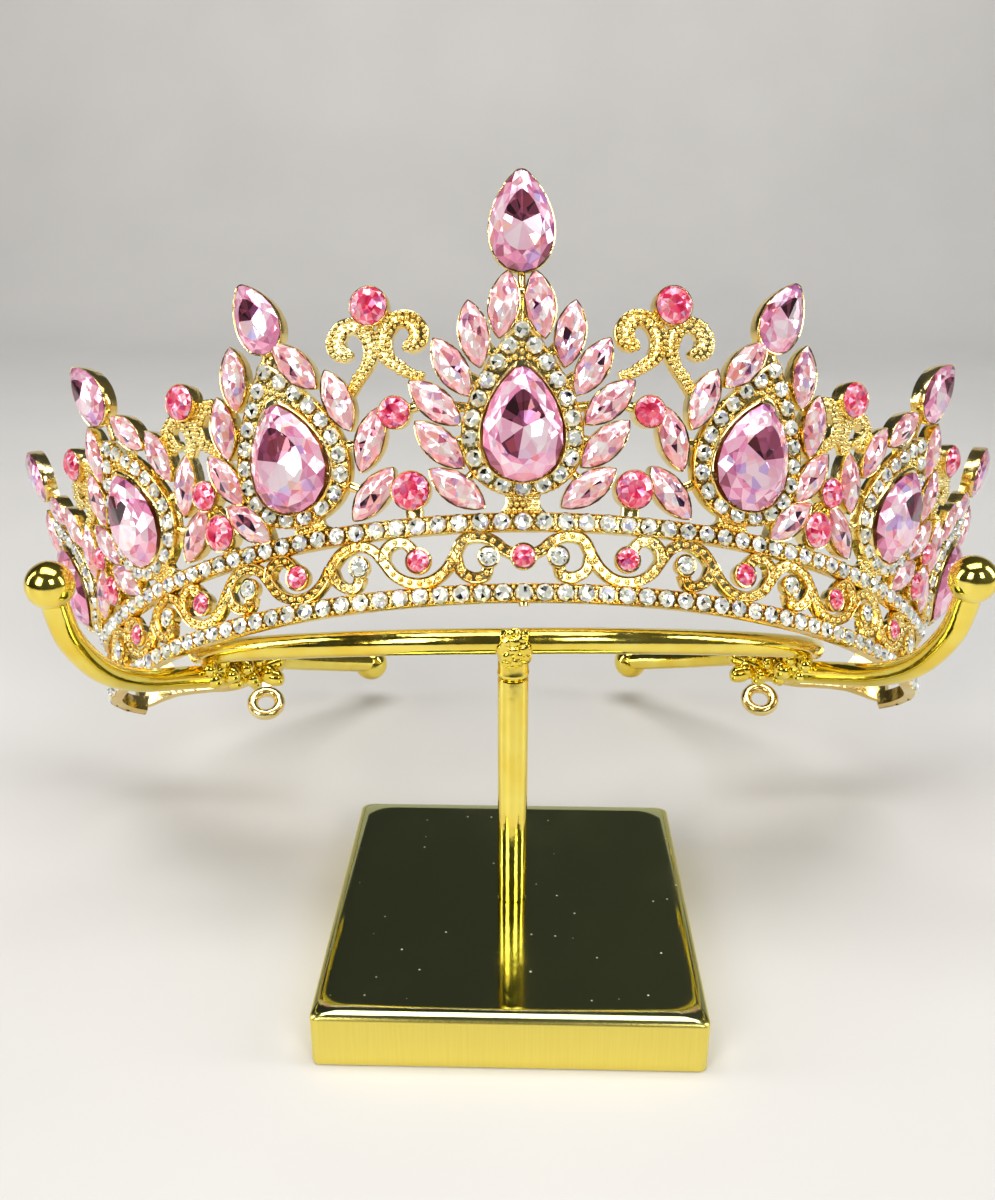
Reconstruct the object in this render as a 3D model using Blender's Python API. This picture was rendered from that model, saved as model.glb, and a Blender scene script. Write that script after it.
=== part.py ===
# A tiara with pink and clear stones, resting on its own small display stand.
# The tiara is one cast and soldered frame: two rails of small stones with scrollwork between
# them, and above the upper rail seven crest units joined by scroll hearts. It is drawn flat,
# as arc length and height, then wrapped round a flared wall that leans to the back.
# Lengths below are in millimetres. World: X to the wearer's left as seen from the front,
# Y to the back, Z up, origin under the middle of the base plate.

import math

import bmesh
import bpy
from mathutils import Matrix, Vector
from mathutils.geometry import delaunay_2d_cdt

MM = 0.001
GAP = 0.35

# stand
PLATE_SIDE = 58.6
PLATE_THICK = 9.5
PLATE_BEVEL = 1.1
POST_RADIUS = 2.4
STUB_LENGTH = 6.0
RING_HEIGHT = 55.0
RING_TILT = math.radians(25.5)
TUBE_RADIUS = 2.05
RING_BALL = 3.4
ARM_BALL = 3.6
HOLDER_TURN = math.radians(2.5)

# tiara wall
FRONT_Y = 3.7
FRONT_Z = 62.6
TIARA_SHIFT = 1.7
TIARA_TILT = math.radians(44.2)
BASE_RADIUS = 85.4
ARC_END = 95.0
CURL_RADIUS = 7.0
CURL_TURN = math.radians(112)
CURL_FADE = 5.0
BAND_FLARE = math.radians(13.5)
CREST_FLARE = math.radians(24)
FLARE_FROM = 8.0
FLARE_OVER = 10.0
WALL_BACK = -0.9
WALL_FRONT = 0.6
DRAWING_GRID = 0.05

# small stones and rails
PITCH = 3.2
ROW_RISE = 11.2
RAIL_HALF = 1.45
RIDGE_PROUD = 0.8
RAIL_END = 106.0
SCROLL_WIDTH = 1.8

# crest stones, half width by half length
PEAR_HALF = (6.5, 9.0)
TOP_PEAR_CENTRE = (5.2, 7.9)
TOP_PEAR_SIDE = (3.7, 5.9)
NAVETTE_HALF = (2.3, 4.9)
ROUND_BIG = 3.0
ROUND_SMALL = 2.5
RIM = 0.4
HALO_HALF = (9.55, 13.85)
HALO_MIDDLE = 29.0
HALO_RIDGE_HALF = (7.95, 12.15)
HALO_RIDGE_WIDTH = 1.6

# crest units: arc position, lean of the axis in degrees, rise of the unit
UNITS = (
    ("centre", 0.0, 0.0, 0.0),
    ("first", 35.2, 2.5, -1.2),
    ("second", 67.6, 3.5, -1.2),
    ("third", 99.4, 3.5, -1.2),
)

# navettes of the middle unit: side, height, lean of the top away from the axis in degrees
NAVETTES_CENTRE = (
    (2.8, 44.8, -9),
    (7.4, 40.4, 8),
    (10.9, 35.5, 29),
    (13.5, 30.2, 46),
    (12.8, 23.7, 43),
    (10.1, 16.7, 53),
)
# navettes of a side unit; negative side faces the middle of the tiara
NAVETTES_SIDE = (
    (-5.5, 40.2, 35),
    (-11.5, 33.2, 14),
    (-15.3, 26.1, -25),
    (-14.0, 17.6, -47),
    (5.9, 41.2, -9),
    (9.9, 34.2, -4),
    (11.5, 26.0, 24),
    (8.7, 17.8, 42),
)

# round stones between the units: arc position, height, radius
ROUNDS = (
    (17.8, 29.3, ROUND_SMALL),
    (16.4, 16.9, ROUND_BIG),
    (50.7, 22.9, ROUND_SMALL),
    (49.3, 16.1, ROUND_BIG),
    (82.5, 22.8, 2.2),
    (81.8, 16.1, 2.7),
)

# scroll hearts: arc position, height of their waist, size against the first
HEARTS = (
    (19.6, 37.9, 1.0),
    (51.0, 31.7, 0.92),
    (81.4, 34.0, 0.9),
)
HEART_ROUND_RISE = 8.3
HEART_WIDTH = 2.4
# half of a heart, from the leg's foot to the curled tip: side, rise above the waist
HEART_HALF = (
    (5.6, -5.2),
    (3.7, -2.6),
    (1.6, 0.0),
    (1.0, 2.4),
    (1.7, 4.4),
    (3.4, 5.8),
    (5.4, 5.7),
    (6.8, 4.1),
    (6.6, 2.1),
    (5.2, 1.5),
)

# one wave of the scrollwork, from a pink stone to the next: arc in pitches, height in the gap
WAVE_PERIOD = 6.3
WAVE_MAIN = (
    (-1.75, 4.8),
    (-1.3, 2.6),
    (-0.6, 1.0),
    (0.3, 0.8),
    (1.2, 2.2),
    (1.75, 4.6),
    (2.2, 6.5),
    (2.95, 7.7),
    (3.9, 6.9),
    (4.5, 4.8),
)
WAVE_TOP_HOOK = ((1.75, 4.6), (1.65, 6.4), (1.2, 7.5), (0.65, 7.3), (0.2, 5.6))
WAVE_LOW_HOOK = ((4.5, 4.8), (4.25, 2.6), (3.7, 1.2), (3.2, 1.3), (2.98, 2.9))
FIRST_HALF_WAVE = ((0.3, 4.4), (0.9, 5.4), (1.4, 6.8), (2.1, 7.6), (2.85, 7.1), (3.25, 4.8))
FIRST_LOW_HOOK = ((3.2, 4.8), (3.0, 2.3), (2.4, 1.1), (1.85, 1.4), (1.68, 2.9))
PINK_RADIUS = 1.8
CLEAR_RADIUS = 1.6
FIRST_PINK = 5.0
FIRST_CLEAR = 1.65
CLEAR_AFTER_PINK = 2.95
WAVES = 4
WAVE_STONE_HEIGHT = 4.2


def clear_scene():
    for obj in list(bpy.data.objects):
        bpy.data.objects.remove(obj, do_unlink=True)


def material(name, colour, metallic, roughness):
    found = bpy.data.materials.get(name)
    if found:
        return found
    made = bpy.data.materials.new(name)
    made.use_nodes = True
    shader = made.node_tree.nodes["Principled BSDF"]
    shader.inputs["Base Color"].default_value = (*colour, 1.0)
    shader.inputs["Metallic"].default_value = metallic
    shader.inputs["Roughness"].default_value = roughness
    return made


def polished_gold(name):
    return material(name, (0.85, 0.55, 0.13), 1.0, 0.12)


def stone_material(name, colour):
    return material(name, colour, 0.0, 0.05)


def finish_object(name, bm, finish, smooth_angle=None):
    mesh = bpy.data.meshes.new(name)
    bmesh.ops.recalc_face_normals(bm, faces=bm.faces)
    bm.to_mesh(mesh)
    bm.free()
    obj = bpy.data.objects.new(name, mesh)
    bpy.context.scene.collection.objects.link(obj)
    mesh.materials.append(finish)
    if smooth_angle:
        mesh.shade_smooth()
        mesh.set_sharp_from_angle(angle=math.radians(smooth_angle))
    return obj


def turned(point):
    """The holder and the tiara sit turned a little about the post."""
    x, y, z = point
    c = math.cos(HOLDER_TURN)
    s = math.sin(HOLDER_TURN)
    return Vector((x * c - y * s, x * s + y * c, z)) * MM


def smooth_path(points, steps):
    """A Catmull-Rom curve through a few points, each given as a tuple."""
    ends = [points[0], *points, points[-1]]
    out = []
    for i in range(len(points) - 1):
        a, b, c, d = (Vector(ends[i + k]) for k in range(4))
        for k in range(steps):
            t = k / steps
            out.append(
                0.5 * ((2 * b) + (c - a) * t + (2 * a - 5 * b + 4 * c - d) * t**2
                       + (3 * b - a - 3 * c + d) * t**3)
            )
    out.append(Vector(points[-1]))
    return out


# wall of the tiara

def plane_path(s, on_band):
    """Place and heading along the base line, in the tiara's own plane."""
    side = 1 if s >= 0 else -1
    d = abs(s)
    if d <= ARC_END or not on_band:
        heading = d / BASE_RADIUS
        x = BASE_RADIUS * math.sin(heading)
        y = BASE_RADIUS * (1 - math.cos(heading))
        return side * x, y, side * heading
    start = ARC_END / BASE_RADIUS
    x = BASE_RADIUS * math.sin(start)
    y = BASE_RADIUS * (1 - math.cos(start))
    turn = min((d - ARC_END) / CURL_RADIUS, CURL_TURN)
    heading = start + turn
    x += CURL_RADIUS * (math.sin(heading) - math.sin(start))
    y += CURL_RADIUS * (math.cos(start) - math.cos(heading))
    straight = max(0.0, d - ARC_END - CURL_RADIUS * CURL_TURN)
    x += straight * math.cos(heading)
    y += straight * math.sin(heading)
    return side * x, y, side * heading


def wall_profile(h):
    """How far out and how far up the wall has gone at height h, and its flare there."""
    if h <= FLARE_FROM:
        return h * math.sin(BAND_FLARE), h * math.cos(BAND_FLARE), BAND_FLARE
    bend = (CREST_FLARE - BAND_FLARE) / FLARE_OVER
    over = min(h - FLARE_FROM, FLARE_OVER)
    flare = BAND_FLARE + bend * over
    out = FLARE_FROM * math.sin(BAND_FLARE) + (math.cos(BAND_FLARE) - math.cos(flare)) / bend
    up = FLARE_FROM * math.cos(BAND_FLARE) + (math.sin(flare) - math.sin(BAND_FLARE)) / bend
    rest = h - FLARE_FROM - over
    return out + rest * math.sin(flare), up + rest * math.cos(flare), flare


def wall_point(s, h, t):
    """Arc length s, height h and distance t out of the wall, as a world point."""
    over = (h - ROW_RISE - RAIL_HALF) / CURL_FADE
    fade = min(1.0, max(0.0, over))
    low = plane_path(s, True)
    high = plane_path(s, False)
    x, y, heading = (a + (b - a) * fade for a, b in zip(low, high))
    out, up, flare = wall_profile(h)
    out += t * math.cos(flare)
    up -= t * math.sin(flare)
    x += out * math.sin(heading)
    y -= out * math.cos(heading)
    c = math.cos(TIARA_TILT)
    n = math.sin(TIARA_TILT)
    return turned((TIARA_SHIFT + x, FRONT_Y + y * c + up * n, FRONT_Z - y * n + up * c))


def stretch(h):
    """Growth of the wall's girth with height."""
    return (BASE_RADIUS + wall_profile(h)[0]) / BASE_RADIUS


def unit_point(unit, x, h):
    """From a unit's own flat axes, x outwards from its axis, to the wall's arc and height."""
    _, arc, lean, rise = unit
    a = math.radians(lean)
    pivot = 12.0
    up = h + rise - pivot
    side = x * math.cos(a) + up * math.sin(a)
    height = pivot + up * math.cos(a) - x * math.sin(a)
    return arc + side / stretch(height), height


def both_sides(arc):
    """The middle once, anything else on the right and on the left."""
    return (1,) if arc == 0 else (1, -1)


# flat outlines

def drop_outline(half, count, middle=0.0):
    """A pear: x as the sine of the turn times the sine of its half, tip at the top."""
    points = []
    for k in range(count):
        a = 2 * math.pi * k / count
        x = half[0] * math.sin(a) * abs(math.sin(a / 2)) / 0.77
        points.append((-x, middle + half[1] * math.cos(a)))
    return points


def navette_outline(half, count=8):
    """A boat shape: half width falls off as the square of the height."""
    points = []
    for k in range(count):
        a = 2 * math.pi * k / count
        y = math.cos(a)
        x = math.copysign(1 - y * y, math.sin(a)) if k % (count // 2) else 0.0
        points.append((-half[0] * x, half[1] * y))
    return points


def circle_outline(radius, count, start=0.0):
    step = 2 * math.pi / count
    return [(radius * math.cos(start + k * step), radius * math.sin(start + k * step)) for k in range(count)]


def placed(outline, centre, lean=0.0, scale=1.0):
    """Lean turns the top towards plus x."""
    c = math.cos(lean)
    n = math.sin(lean)
    return [
        (centre[0] + scale * (x * c + y * n), centre[1] + scale * (y * c - x * n))
        for x, y in outline
    ]


def strip_outline(points, width):
    """A ribbon of even width along a path, as one outline."""
    left = []
    right = []
    last = len(points) - 1
    for i, point in enumerate(points):
        before = Vector(points[max(i - 1, 0)])
        after = Vector(points[min(i + 1, last)])
        along = (after - before).normalized()
        across = Vector((-along.y, along.x)) * width / 2
        left.append(tuple(Vector(point) + across))
        right.append(tuple(Vector(point) - across))
    return left + right[::-1]


def area(outline):
    total = 0.0
    for (ax, ay), (bx, by) in zip(outline, outline[1:] + outline[:1]):
        total += ax * by - bx * ay
    return total / 2


class FlatFrame:
    """Gathers the metal's outlines, the facets of fused stones and the ridges, drawn flat."""

    def __init__(self):
        self.metal = []
        self.stones = []
        self.ridges = []

    def add_metal(self, outline):
        if area(outline) < 0:
            outline = outline[::-1]
        self.metal.append(outline)

    def add_stone(self, centre, outline, table, proud):
        if area(outline) < 0:
            outline = outline[::-1]
        self.stones.append((centre, outline, table, proud))

    def add_ridge(self, line, half_width):
        """Stands for a row of small stones: highest along its line, level at its edges."""
        self.ridges.append((line, half_width))

    def rise(self, point):
        """Height over a point: full inside a stone's table or on a ridge, falling to the edge."""
        best = 0.0
        for line, half_width in self.ridges:
            for a, b in zip(line, line[1:]):
                off = distance_to_run(point, a, b)
                if off < half_width:
                    best = max(best, RIDGE_PROUD * (1 - off / half_width))
        for centre, outline, table, proud in self.stones:
            if abs(point[0] - centre[0]) > 6 or abs(point[1] - centre[1]) > 6:
                continue
            gauge = outline_gauge(point, centre, outline)
            if gauge < 1:
                best = max(best, proud * min(1.0, (1 - gauge) / (1 - table)))
        return best


def distance_to_run(point, a, b):
    run = Vector(b) - Vector(a)
    along = (Vector(point) - Vector(a)).dot(run) / run.length_squared
    near = Vector(a) + run * min(1.0, max(0.0, along))
    return (Vector(point) - near).length


def outline_gauge(point, centre, outline):
    """Zero at the centre, one on the outline, straight between."""
    px = point[0] - centre[0]
    py = point[1] - centre[1]
    if px == 0 and py == 0:
        return 0.0
    for (ax, ay), (bx, by) in zip(outline, outline[1:] + outline[:1]):
        ax -= centre[0]
        ay -= centre[1]
        bx -= centre[0]
        by -= centre[1]
        cross = ax * by - ay * bx
        u = (px * by - py * bx) / cross
        v = (ax * py - ay * px) / cross
        if u >= -1e-6 and v >= -1e-6:
            return u + v
    return 1.0


def rail(flat, height):
    count = 50
    line = [(-RAIL_END + 2 * RAIL_END * k / count, height) for k in range(count + 1)]
    lower = [(x, height - RAIL_HALF) for x, _ in line]
    upper = [(x, height + RAIL_HALF) for x, _ in line[::-1]]
    flat.add_metal(lower + upper)
    flat.add_ridge(line, RAIL_HALF)


def band_height(gap_height):
    return RAIL_HALF + gap_height


def wave_strip(flat, points, start, side):
    line = [(side * (start + x) * PITCH, band_height(y)) for x, y in points]
    flat.add_metal(strip_outline(line, SCROLL_WIDTH))


def band_stone(flat, arc, radius):
    centre = (arc * PITCH, band_height(WAVE_STONE_HEIGHT))
    seat = placed(circle_outline(radius, 8, math.pi / 8), centre)
    flat.add_metal(seat)
    flat.add_stone(centre, seat, 0.55, 1.3)


def scrollwork(flat):
    band_stone(flat, 0.0, PINK_RADIUS)
    for side in (1, -1):
        wave_strip(flat, FIRST_HALF_WAVE, 0.0, side)
        wave_strip(flat, FIRST_LOW_HOOK, 0.0, side)
        band_stone(flat, side * FIRST_CLEAR, CLEAR_RADIUS)
        for k in range(WAVES):
            start = FIRST_PINK + k * WAVE_PERIOD
            wave_strip(flat, WAVE_MAIN, start, side)
            wave_strip(flat, WAVE_TOP_HOOK, start, side)
            wave_strip(flat, WAVE_LOW_HOOK, start, side)
            band_stone(flat, side * start, PINK_RADIUS)
            band_stone(flat, side * (start + CLEAR_AFTER_PINK), CLEAR_RADIUS)
        wave_strip(flat, WAVE_MAIN[:6], FIRST_PINK + WAVES * WAVE_PERIOD, side)
        wave_strip(flat, WAVE_TOP_HOOK, FIRST_PINK + WAVES * WAVE_PERIOD, side)
        band_stone(flat, side * (FIRST_PINK + WAVES * WAVE_PERIOD), PINK_RADIUS)


def leaf_end(flat):
    """Each end narrows to a cast leaf, with a ribbon loop below its tip."""
    leaf = (
        (104.0, -1.4), (107.0, 0.2), (109.5, 1.8), (112.5, 3.0), (117.5, 3.8), (123.5, 4.6),
        (128.5, 7.6), (131.5, 10.6), (128.5, 11.4), (124.8, 8.0), (120.0, 6.6), (114.0, 6.6),
        (110.5, 9.0), (107.5, 12.2), (104.0, 12.6),
    )
    loop_centre = (129.6, 2.1)
    for side in (1, -1):
        outline = [(side * x, y) for x, y in leaf]
        flat.add_metal(outline)
        loop = []
        for k in range(11):
            a = math.radians(62) + 2 * math.pi * k / 12
            loop.append((side * (loop_centre[0] + 3.0 * math.cos(a)), loop_centre[1] + 3.0 * math.sin(a)))
        flat.add_metal(strip_outline(loop, 1.9))
        flat.add_metal(strip_outline([loop[-1], loop[0]], 1.9))
        link(flat, (side * loop_centre[0], 4.8), (side * 128.0, 9.2), 1.8)


def link(flat, first, second, width=1.5):
    flat.add_metal(strip_outline([first, second], width))


def crest_unit(flat, unit, side):
    """A drop shaped halo of small stones, its navettes, and the seat of its top pear."""
    name, arc, _, _ = unit

    def to_flat(points):
        out = []
        for x, h in points:
            s, height = unit_point(unit, x, h)
            out.append((side * s, height))
        return out

    flat.add_metal(to_flat(drop_outline(HALO_HALF, 18, HALO_MIDDLE)))
    neck = ((-3.2, 12.4 - unit[3]), (3.2, 12.4 - unit[3]), (3.2, 16.4), (-3.2, 16.4))
    flat.add_metal(to_flat(neck))
    ridge = to_flat(drop_outline(HALO_RIDGE_HALF, 14, HALO_MIDDLE - 0.2))
    flat.add_ridge(ridge + ridge[:1], HALO_RIDGE_WIDTH)
    for x, h, lean in unit_navettes(unit):
        centre = to_flat([(x, h)])[0]
        seat = to_flat(placed(navette_outline(NAVETTE_HALF), (x, h), math.radians(lean)))
        flat.add_metal(seat)
        flat.add_stone(centre, seat, 0.5, 2.0)
        toward = halo_nearest(x, h)
        flat.add_metal(to_flat(strip_outline([edge_of(x, h, lean, toward), toward], 1.6)))
    half, (x, h), lean = top_pear(unit)
    seat = placed(drop_outline((half[0] + RIM, half[1] + RIM), 12), (x, h), math.radians(lean))
    flat.add_metal(to_flat(seat))
    foot = (x - math.sin(math.radians(lean)) * half[1] * 0.8, h - half[1] * 0.8)
    flat.add_metal(to_flat(strip_outline([foot, (0.0, HALO_MIDDLE + HALO_HALF[1] - 1.2)], 2.4)))


def unit_navettes(unit):
    if unit[1] == 0:
        return [(x * m, h, lean * m) for x, h, lean in NAVETTES_CENTRE for m in (1, -1)]
    return NAVETTES_SIDE


def top_pear(unit):
    if unit[1] == 0:
        return TOP_PEAR_CENTRE, (0.0, 57.6), 0.0
    return TOP_PEAR_SIDE, (1.9, 50.0), 15.0


def halo_nearest(x, h):
    """The point just inside the halo's edge that is nearest to a navette."""
    line = drop_outline((HALO_HALF[0] - 0.25, HALO_HALF[1] - 0.25), 96, HALO_MIDDLE)
    return min(line, key=lambda p: math.dist(p, (x, h)))


def edge_of(x, h, lean, toward):
    """A point just inside a navette's rim, on the side of its halo."""
    rim = navette_outline(NAVETTE_HALF, 32)
    points = placed(rim, (x, h), math.radians(lean))
    near = min(points, key=lambda p: math.dist(p, toward))
    pull = 0.12
    return near[0] + (x - near[0]) * pull, near[1] + (h - near[1]) * pull


def heart(flat, data, side):
    arc, waist, size = data
    for half in (1, -1):
        line = []
        for x, y in HEART_HALF:
            height = waist + y * size
            line.append((side * (arc + half * x * size / stretch(height)), height))
        flat.add_metal(strip_outline(line, HEART_WIDTH))
    height = waist + HEART_ROUND_RISE * size
    round_seat(flat, side * arc, height, ROUND_BIG)
    link(flat, (side * arc, waist + 3.2), (side * arc, height - 2.6), 2.4)


def round_seat(flat, s, h, radius):
    seat = [(s + x / stretch(h), h + y) for x, y in circle_outline(radius + RIM, 8)]
    flat.add_metal(seat)


def heart_rounds():
    return [(arc, waist + HEART_ROUND_RISE * size, ROUND_BIG) for arc, waist, size in HEARTS]


def between_units(flat):
    """Seats of the loose round stones, with the short bars that hold them."""
    for side in (1, -1):
        for s, h, radius in ROUNDS:
            round_seat(flat, side * s, h, radius)
        for k in (1, 3, 5):
            s, h, radius = ROUNDS[k]
            link(flat, (side * s, h - radius - 0.2), (side * s, ROW_RISE + RAIL_HALF - 0.2), 3.0)
            high, top, small = ROUNDS[k - 1]
            link(flat, (side * s, h + radius), (side * high, top - small), 1.8)


def inside(point, outline):
    x, y = point
    odd = False
    for (ax, ay), (bx, by) in zip(outline, outline[1:] + outline[:1]):
        if (ay > y) != (by > y) and x < ax + (y - ay) * (bx - ax) / (by - ay):
            odd = not odd
    return odd


def triangles(points, edges, outlines):
    """Triangles between the given edges that lie on metal."""
    verts, _, tris, _, _, _ = delaunay_2d_cdt(points, edges, [], 0, 1e-3)
    boxes = []
    for outline in outlines:
        xs = [p[0] for p in outline]
        ys = [p[1] for p in outline]
        boxes.append((min(xs), max(xs), min(ys), max(ys), outline))
    kept = []
    for tri in tris:
        x = sum(verts[i].x for i in tri) / 3
        y = sum(verts[i].y for i in tri) / 3
        for left, right, low, high, outline in boxes:
            if left < x < right and low < y < high and inside((x, y), outline):
                kept.append(tri)
                break
    return verts, kept


def settled(points, edges):
    """Crossings become points and everything moves to a fine grid, so no gap is too thin."""
    for _ in range(3):
        verts, runs, _, _, origins, _ = delaunay_2d_cdt(points, edges, [], 0, 1e-6)
        cells = {}
        cell_of = []
        for vert in verts:
            cell = (round(vert.x / DRAWING_GRID), round(vert.y / DRAWING_GRID))
            cell_of.append(cells.setdefault(cell, len(cells)))
        kept = set()
        for (a, b), origin in zip(runs, origins):
            if origin and cell_of[a] != cell_of[b]:
                kept.add(tuple(sorted((cell_of[a], cell_of[b]))))
        points = [Vector(cell) * DRAWING_GRID for cell in cells]
        edges = sorted(kept)
    return points, edges


def loop_edges(loops):
    points = []
    edges = []
    for loop in loops:
        first = len(points)
        count = len(loop)
        points.extend(Vector(p) for p in loop)
        edges.extend((first + k, first + (k + 1) % count) for k in range(count))
    return points, edges


def scaled(point, centre, factor):
    return tuple(c + (p - c) * factor for p, c in zip(point, centre))


def outer_edges(tris):
    sides = set()
    for tri in tris:
        for a, b in zip(tri, tri[1:] + tri[:1]):
            sides.add((a, b))
    return [(a, b) for a, b in sides if (b, a) not in sides]


def filled(points, rim):
    """Triangles on the left of the rim's edges, spread to their neighbours inside the rim."""
    verts, _, tris, _, _, _ = delaunay_2d_cdt(points, rim, [], 0, 1e-6)
    owner = {}
    for k, tri in enumerate(tris):
        for a, b in zip(tri, tri[1:] + tri[:1]):
            owner[(a, b)] = k
    walls = set(rim)
    waiting = [owner[edge] for edge in rim]
    kept = set()
    while waiting:
        k = waiting.pop()
        if k in kept:
            continue
        kept.add(k)
        tri = tris[k]
        for a, b in zip(tri, tri[1:] + tri[:1]):
            if (a, b) not in walls and (b, a) in owner:
                waiting.append(owner[(b, a)])
    return verts, [tris[k] for k in sorted(kept)]


def frame_solid(flat):
    """Front with facets, plain back, and side walls along every edge between them."""
    facets = []
    for centre, outline, table, _ in flat.stones:
        facets.append(outline)
        facets.append([scaled(point, centre, table) for point in outline[::2]])
    points, edges = loop_edges(flat.metal + facets)
    for line, _ in flat.ridges:
        first = len(points)
        points.extend(Vector(p) for p in line)
        edges.extend((k, k + 1) for k in range(first, first + len(line) - 1))
    points, edges = settled(points, edges)
    verts, front = triangles(points, edges, flat.metal)
    rim = outer_edges(front)
    rim_ids = sorted({i for edge in rim for i in edge})
    place = {i: k for k, i in enumerate(rim_ids)}
    back_points = [verts[i] for i in rim_ids]
    back_verts, back = filled(back_points, [(place[a], place[b]) for a, b in rim])
    bm = bmesh.new()
    top = {}
    for i in {i for tri in front for i in tri}:
        s, h = verts[i]
        top[i] = bm.verts.new(wall_point(s, h, WALL_FRONT + flat.rise((s, h))))
    low = [bm.verts.new(wall_point(p.x, p.y, WALL_BACK)) for p in back_verts]
    for tri in front:
        bm.faces.new([top[i] for i in tri])
    for tri in back:
        bm.faces.new([low[i] for i in tri[::-1]])
    for a, b in rim:
        bm.faces.new((top[b], top[a], low[place[a]], low[place[b]]))
    bmesh.ops.triangulate(bm, faces=bm.faces)
    return bm


def tiara_frame():
    flat = FlatFrame()
    rail(flat, 0.0)
    rail(flat, ROW_RISE)
    scrollwork(flat)
    leaf_end(flat)
    for unit in UNITS:
        for side in both_sides(unit[1]):
            crest_unit(flat, unit, side)
    for data in HEARTS:
        for side in (1, -1):
            heart(flat, data, side)
    between_units(flat)
    return finish_object("tiara_frame", frame_solid(flat), polished_gold("tiara_gold"))


# loose stones

def stone_solid(outline, to_wall, sizes):
    """A cut stone: small flat back, girdle, then crown facets up to a table."""
    back, girdle, top, table = sizes
    bm = bmesh.new()
    rings = []
    for scale, t in ((0.55, back), (1.0, girdle), (table, top)):
        rings.append([bm.verts.new(to_wall(x * scale, y * scale, t)) for x, y in outline])
    bm.faces.new(rings[0][::-1])
    for low, high in zip(rings, rings[1:]):
        for k in range(len(outline)):
            n = (k + 1) % len(outline)
            bm.faces.new((low[k], low[n], high[n], high[k]))
    bm.faces.new(rings[-1])
    bmesh.ops.triangulate(bm, faces=bm.faces)
    return bm


def unit_stone(name, unit, side, outline, centre, lean, sizes, finish):
    def to_wall(x, y, t):
        (px, ph), = placed([(x, y)], centre, math.radians(lean))
        s, h = unit_point(unit, px, ph)
        return wall_point(side * s, h, t)
    return finish_object(name, stone_solid(outline, to_wall, sizes), finish)


def round_stone(name, s, h, radius, finish):
    def to_wall(x, y, t):
        return wall_point(s + x / stretch(h), h + y, t)
    start = WALL_FRONT + 2 * GAP
    sizes = (start, start + 0.9, start + 2.2, 0.55)
    return finish_object(name, stone_solid(circle_outline(radius, 8), to_wall, sizes), finish)


def loose_stones():
    pink = stone_material("pink_crystal", (0.86, 0.42, 0.62))
    coral = stone_material("coral_crystal", (0.9, 0.22, 0.35))
    start = WALL_FRONT + GAP
    for unit in UNITS:
        for side in both_sides(unit[1]):
            tail = unit[0] if unit[1] == 0 else unit[0] + ("_left" if side > 0 else "_right")
            sizes = (start + 0.5, start + 1.2, start + 3.6, 0.55)
            outline = drop_outline(PEAR_HALF, 10)
            unit_stone("pear_" + tail, unit, side, outline, (0.0, 26.4), 0.0, sizes, pink)
            half, centre, lean = top_pear(unit)
            sizes = (start, start + 0.9, start + 2.6, 0.55)
            outline = drop_outline(half, 10)
            unit_stone("top_pear_" + tail, unit, side, outline, centre, lean, sizes, pink)
    for side, word in ((1, "left"), (-1, "right")):
        for k, (s, h, radius) in enumerate(ROUNDS):
            round_stone("round_stone_%s_%d" % (word, k + 1), side * s, h, radius, coral)
        for k, (s, h, radius) in enumerate(heart_rounds()):
            round_stone("heart_stone_%s_%d" % (word, k + 1), side * s, h, radius, coral)


# stand

def base_plate():
    bm = bmesh.new()
    half = PLATE_SIDE / 2 * MM
    size = Matrix.Diagonal((2 * half, 2 * half, PLATE_THICK * MM, 1))
    bmesh.ops.create_cube(bm, size=1.0, matrix=Matrix.Translation((0, 0, PLATE_THICK * MM / 2)) @ size)
    top = [edge for edge in bm.edges if all(v.co.z > PLATE_THICK * MM * 0.9 for v in edge.verts)]
    sides = [edge for edge in bm.edges if abs(edge.verts[0].co.z - edge.verts[1].co.z) > MM]
    bmesh.ops.bevel(
        bm, geom=top + sides, offset=PLATE_BEVEL * MM, segments=3, profile=0.5, affect="EDGES"
    )
    return finish_object("base_plate", bm, polished_gold("plate_brass"), 30)


def turned_solid(name, profile, sides, finish):
    """Rings of equal sides up an upright axis, closed flat at both ends."""
    bm = bmesh.new()
    rings = []
    for radius, z in profile:
        ring = circle_outline(radius, sides)
        rings.append([bm.verts.new((x * MM, y * MM, z * MM)) for x, y in ring])
    bm.faces.new(rings[0][::-1])
    for low, high in zip(rings, rings[1:]):
        for k in range(sides):
            n = (k + 1) % sides
            bm.faces.new((low[k], low[n], high[n], high[k]))
    bm.faces.new(rings[-1])
    return finish_object(name, bm, finish, 40)


def post():
    foot = PLATE_THICK + GAP
    head = RING_HEIGHT - STUB_LENGTH - GAP
    groove = 0.3
    profile = (
        (POST_RADIUS - groove, foot), (POST_RADIUS, foot + groove),
        (POST_RADIUS, head - groove), (POST_RADIUS - groove, head),
    )
    return turned_solid("post", profile, 16, polished_gold("stand_gold"))


def tube(points, radius, sides=8):
    """A round tube along a path with flat ends, its section carried without twist."""
    bm = bmesh.new()
    rings = []
    last = len(points) - 1
    for i, point in enumerate(points):
        along = (points[min(i + 1, last)] - points[max(i - 1, 0)]).normalized()
        side = along.cross(Vector((0, 0, 1))).normalized()
        up = side.cross(along)
        ring = []
        for x, y in circle_outline(radius * MM, sides):
            ring.append(bm.verts.new(point + side * x + up * y))
        rings.append(ring)
    bm.faces.new(rings[0][::-1])
    for low, high in zip(rings, rings[1:]):
        for k in range(sides):
            n = (k + 1) % sides
            bm.faces.new((low[k], low[n], high[n], high[k]))
    bm.faces.new(rings[-1])
    return bm


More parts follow.
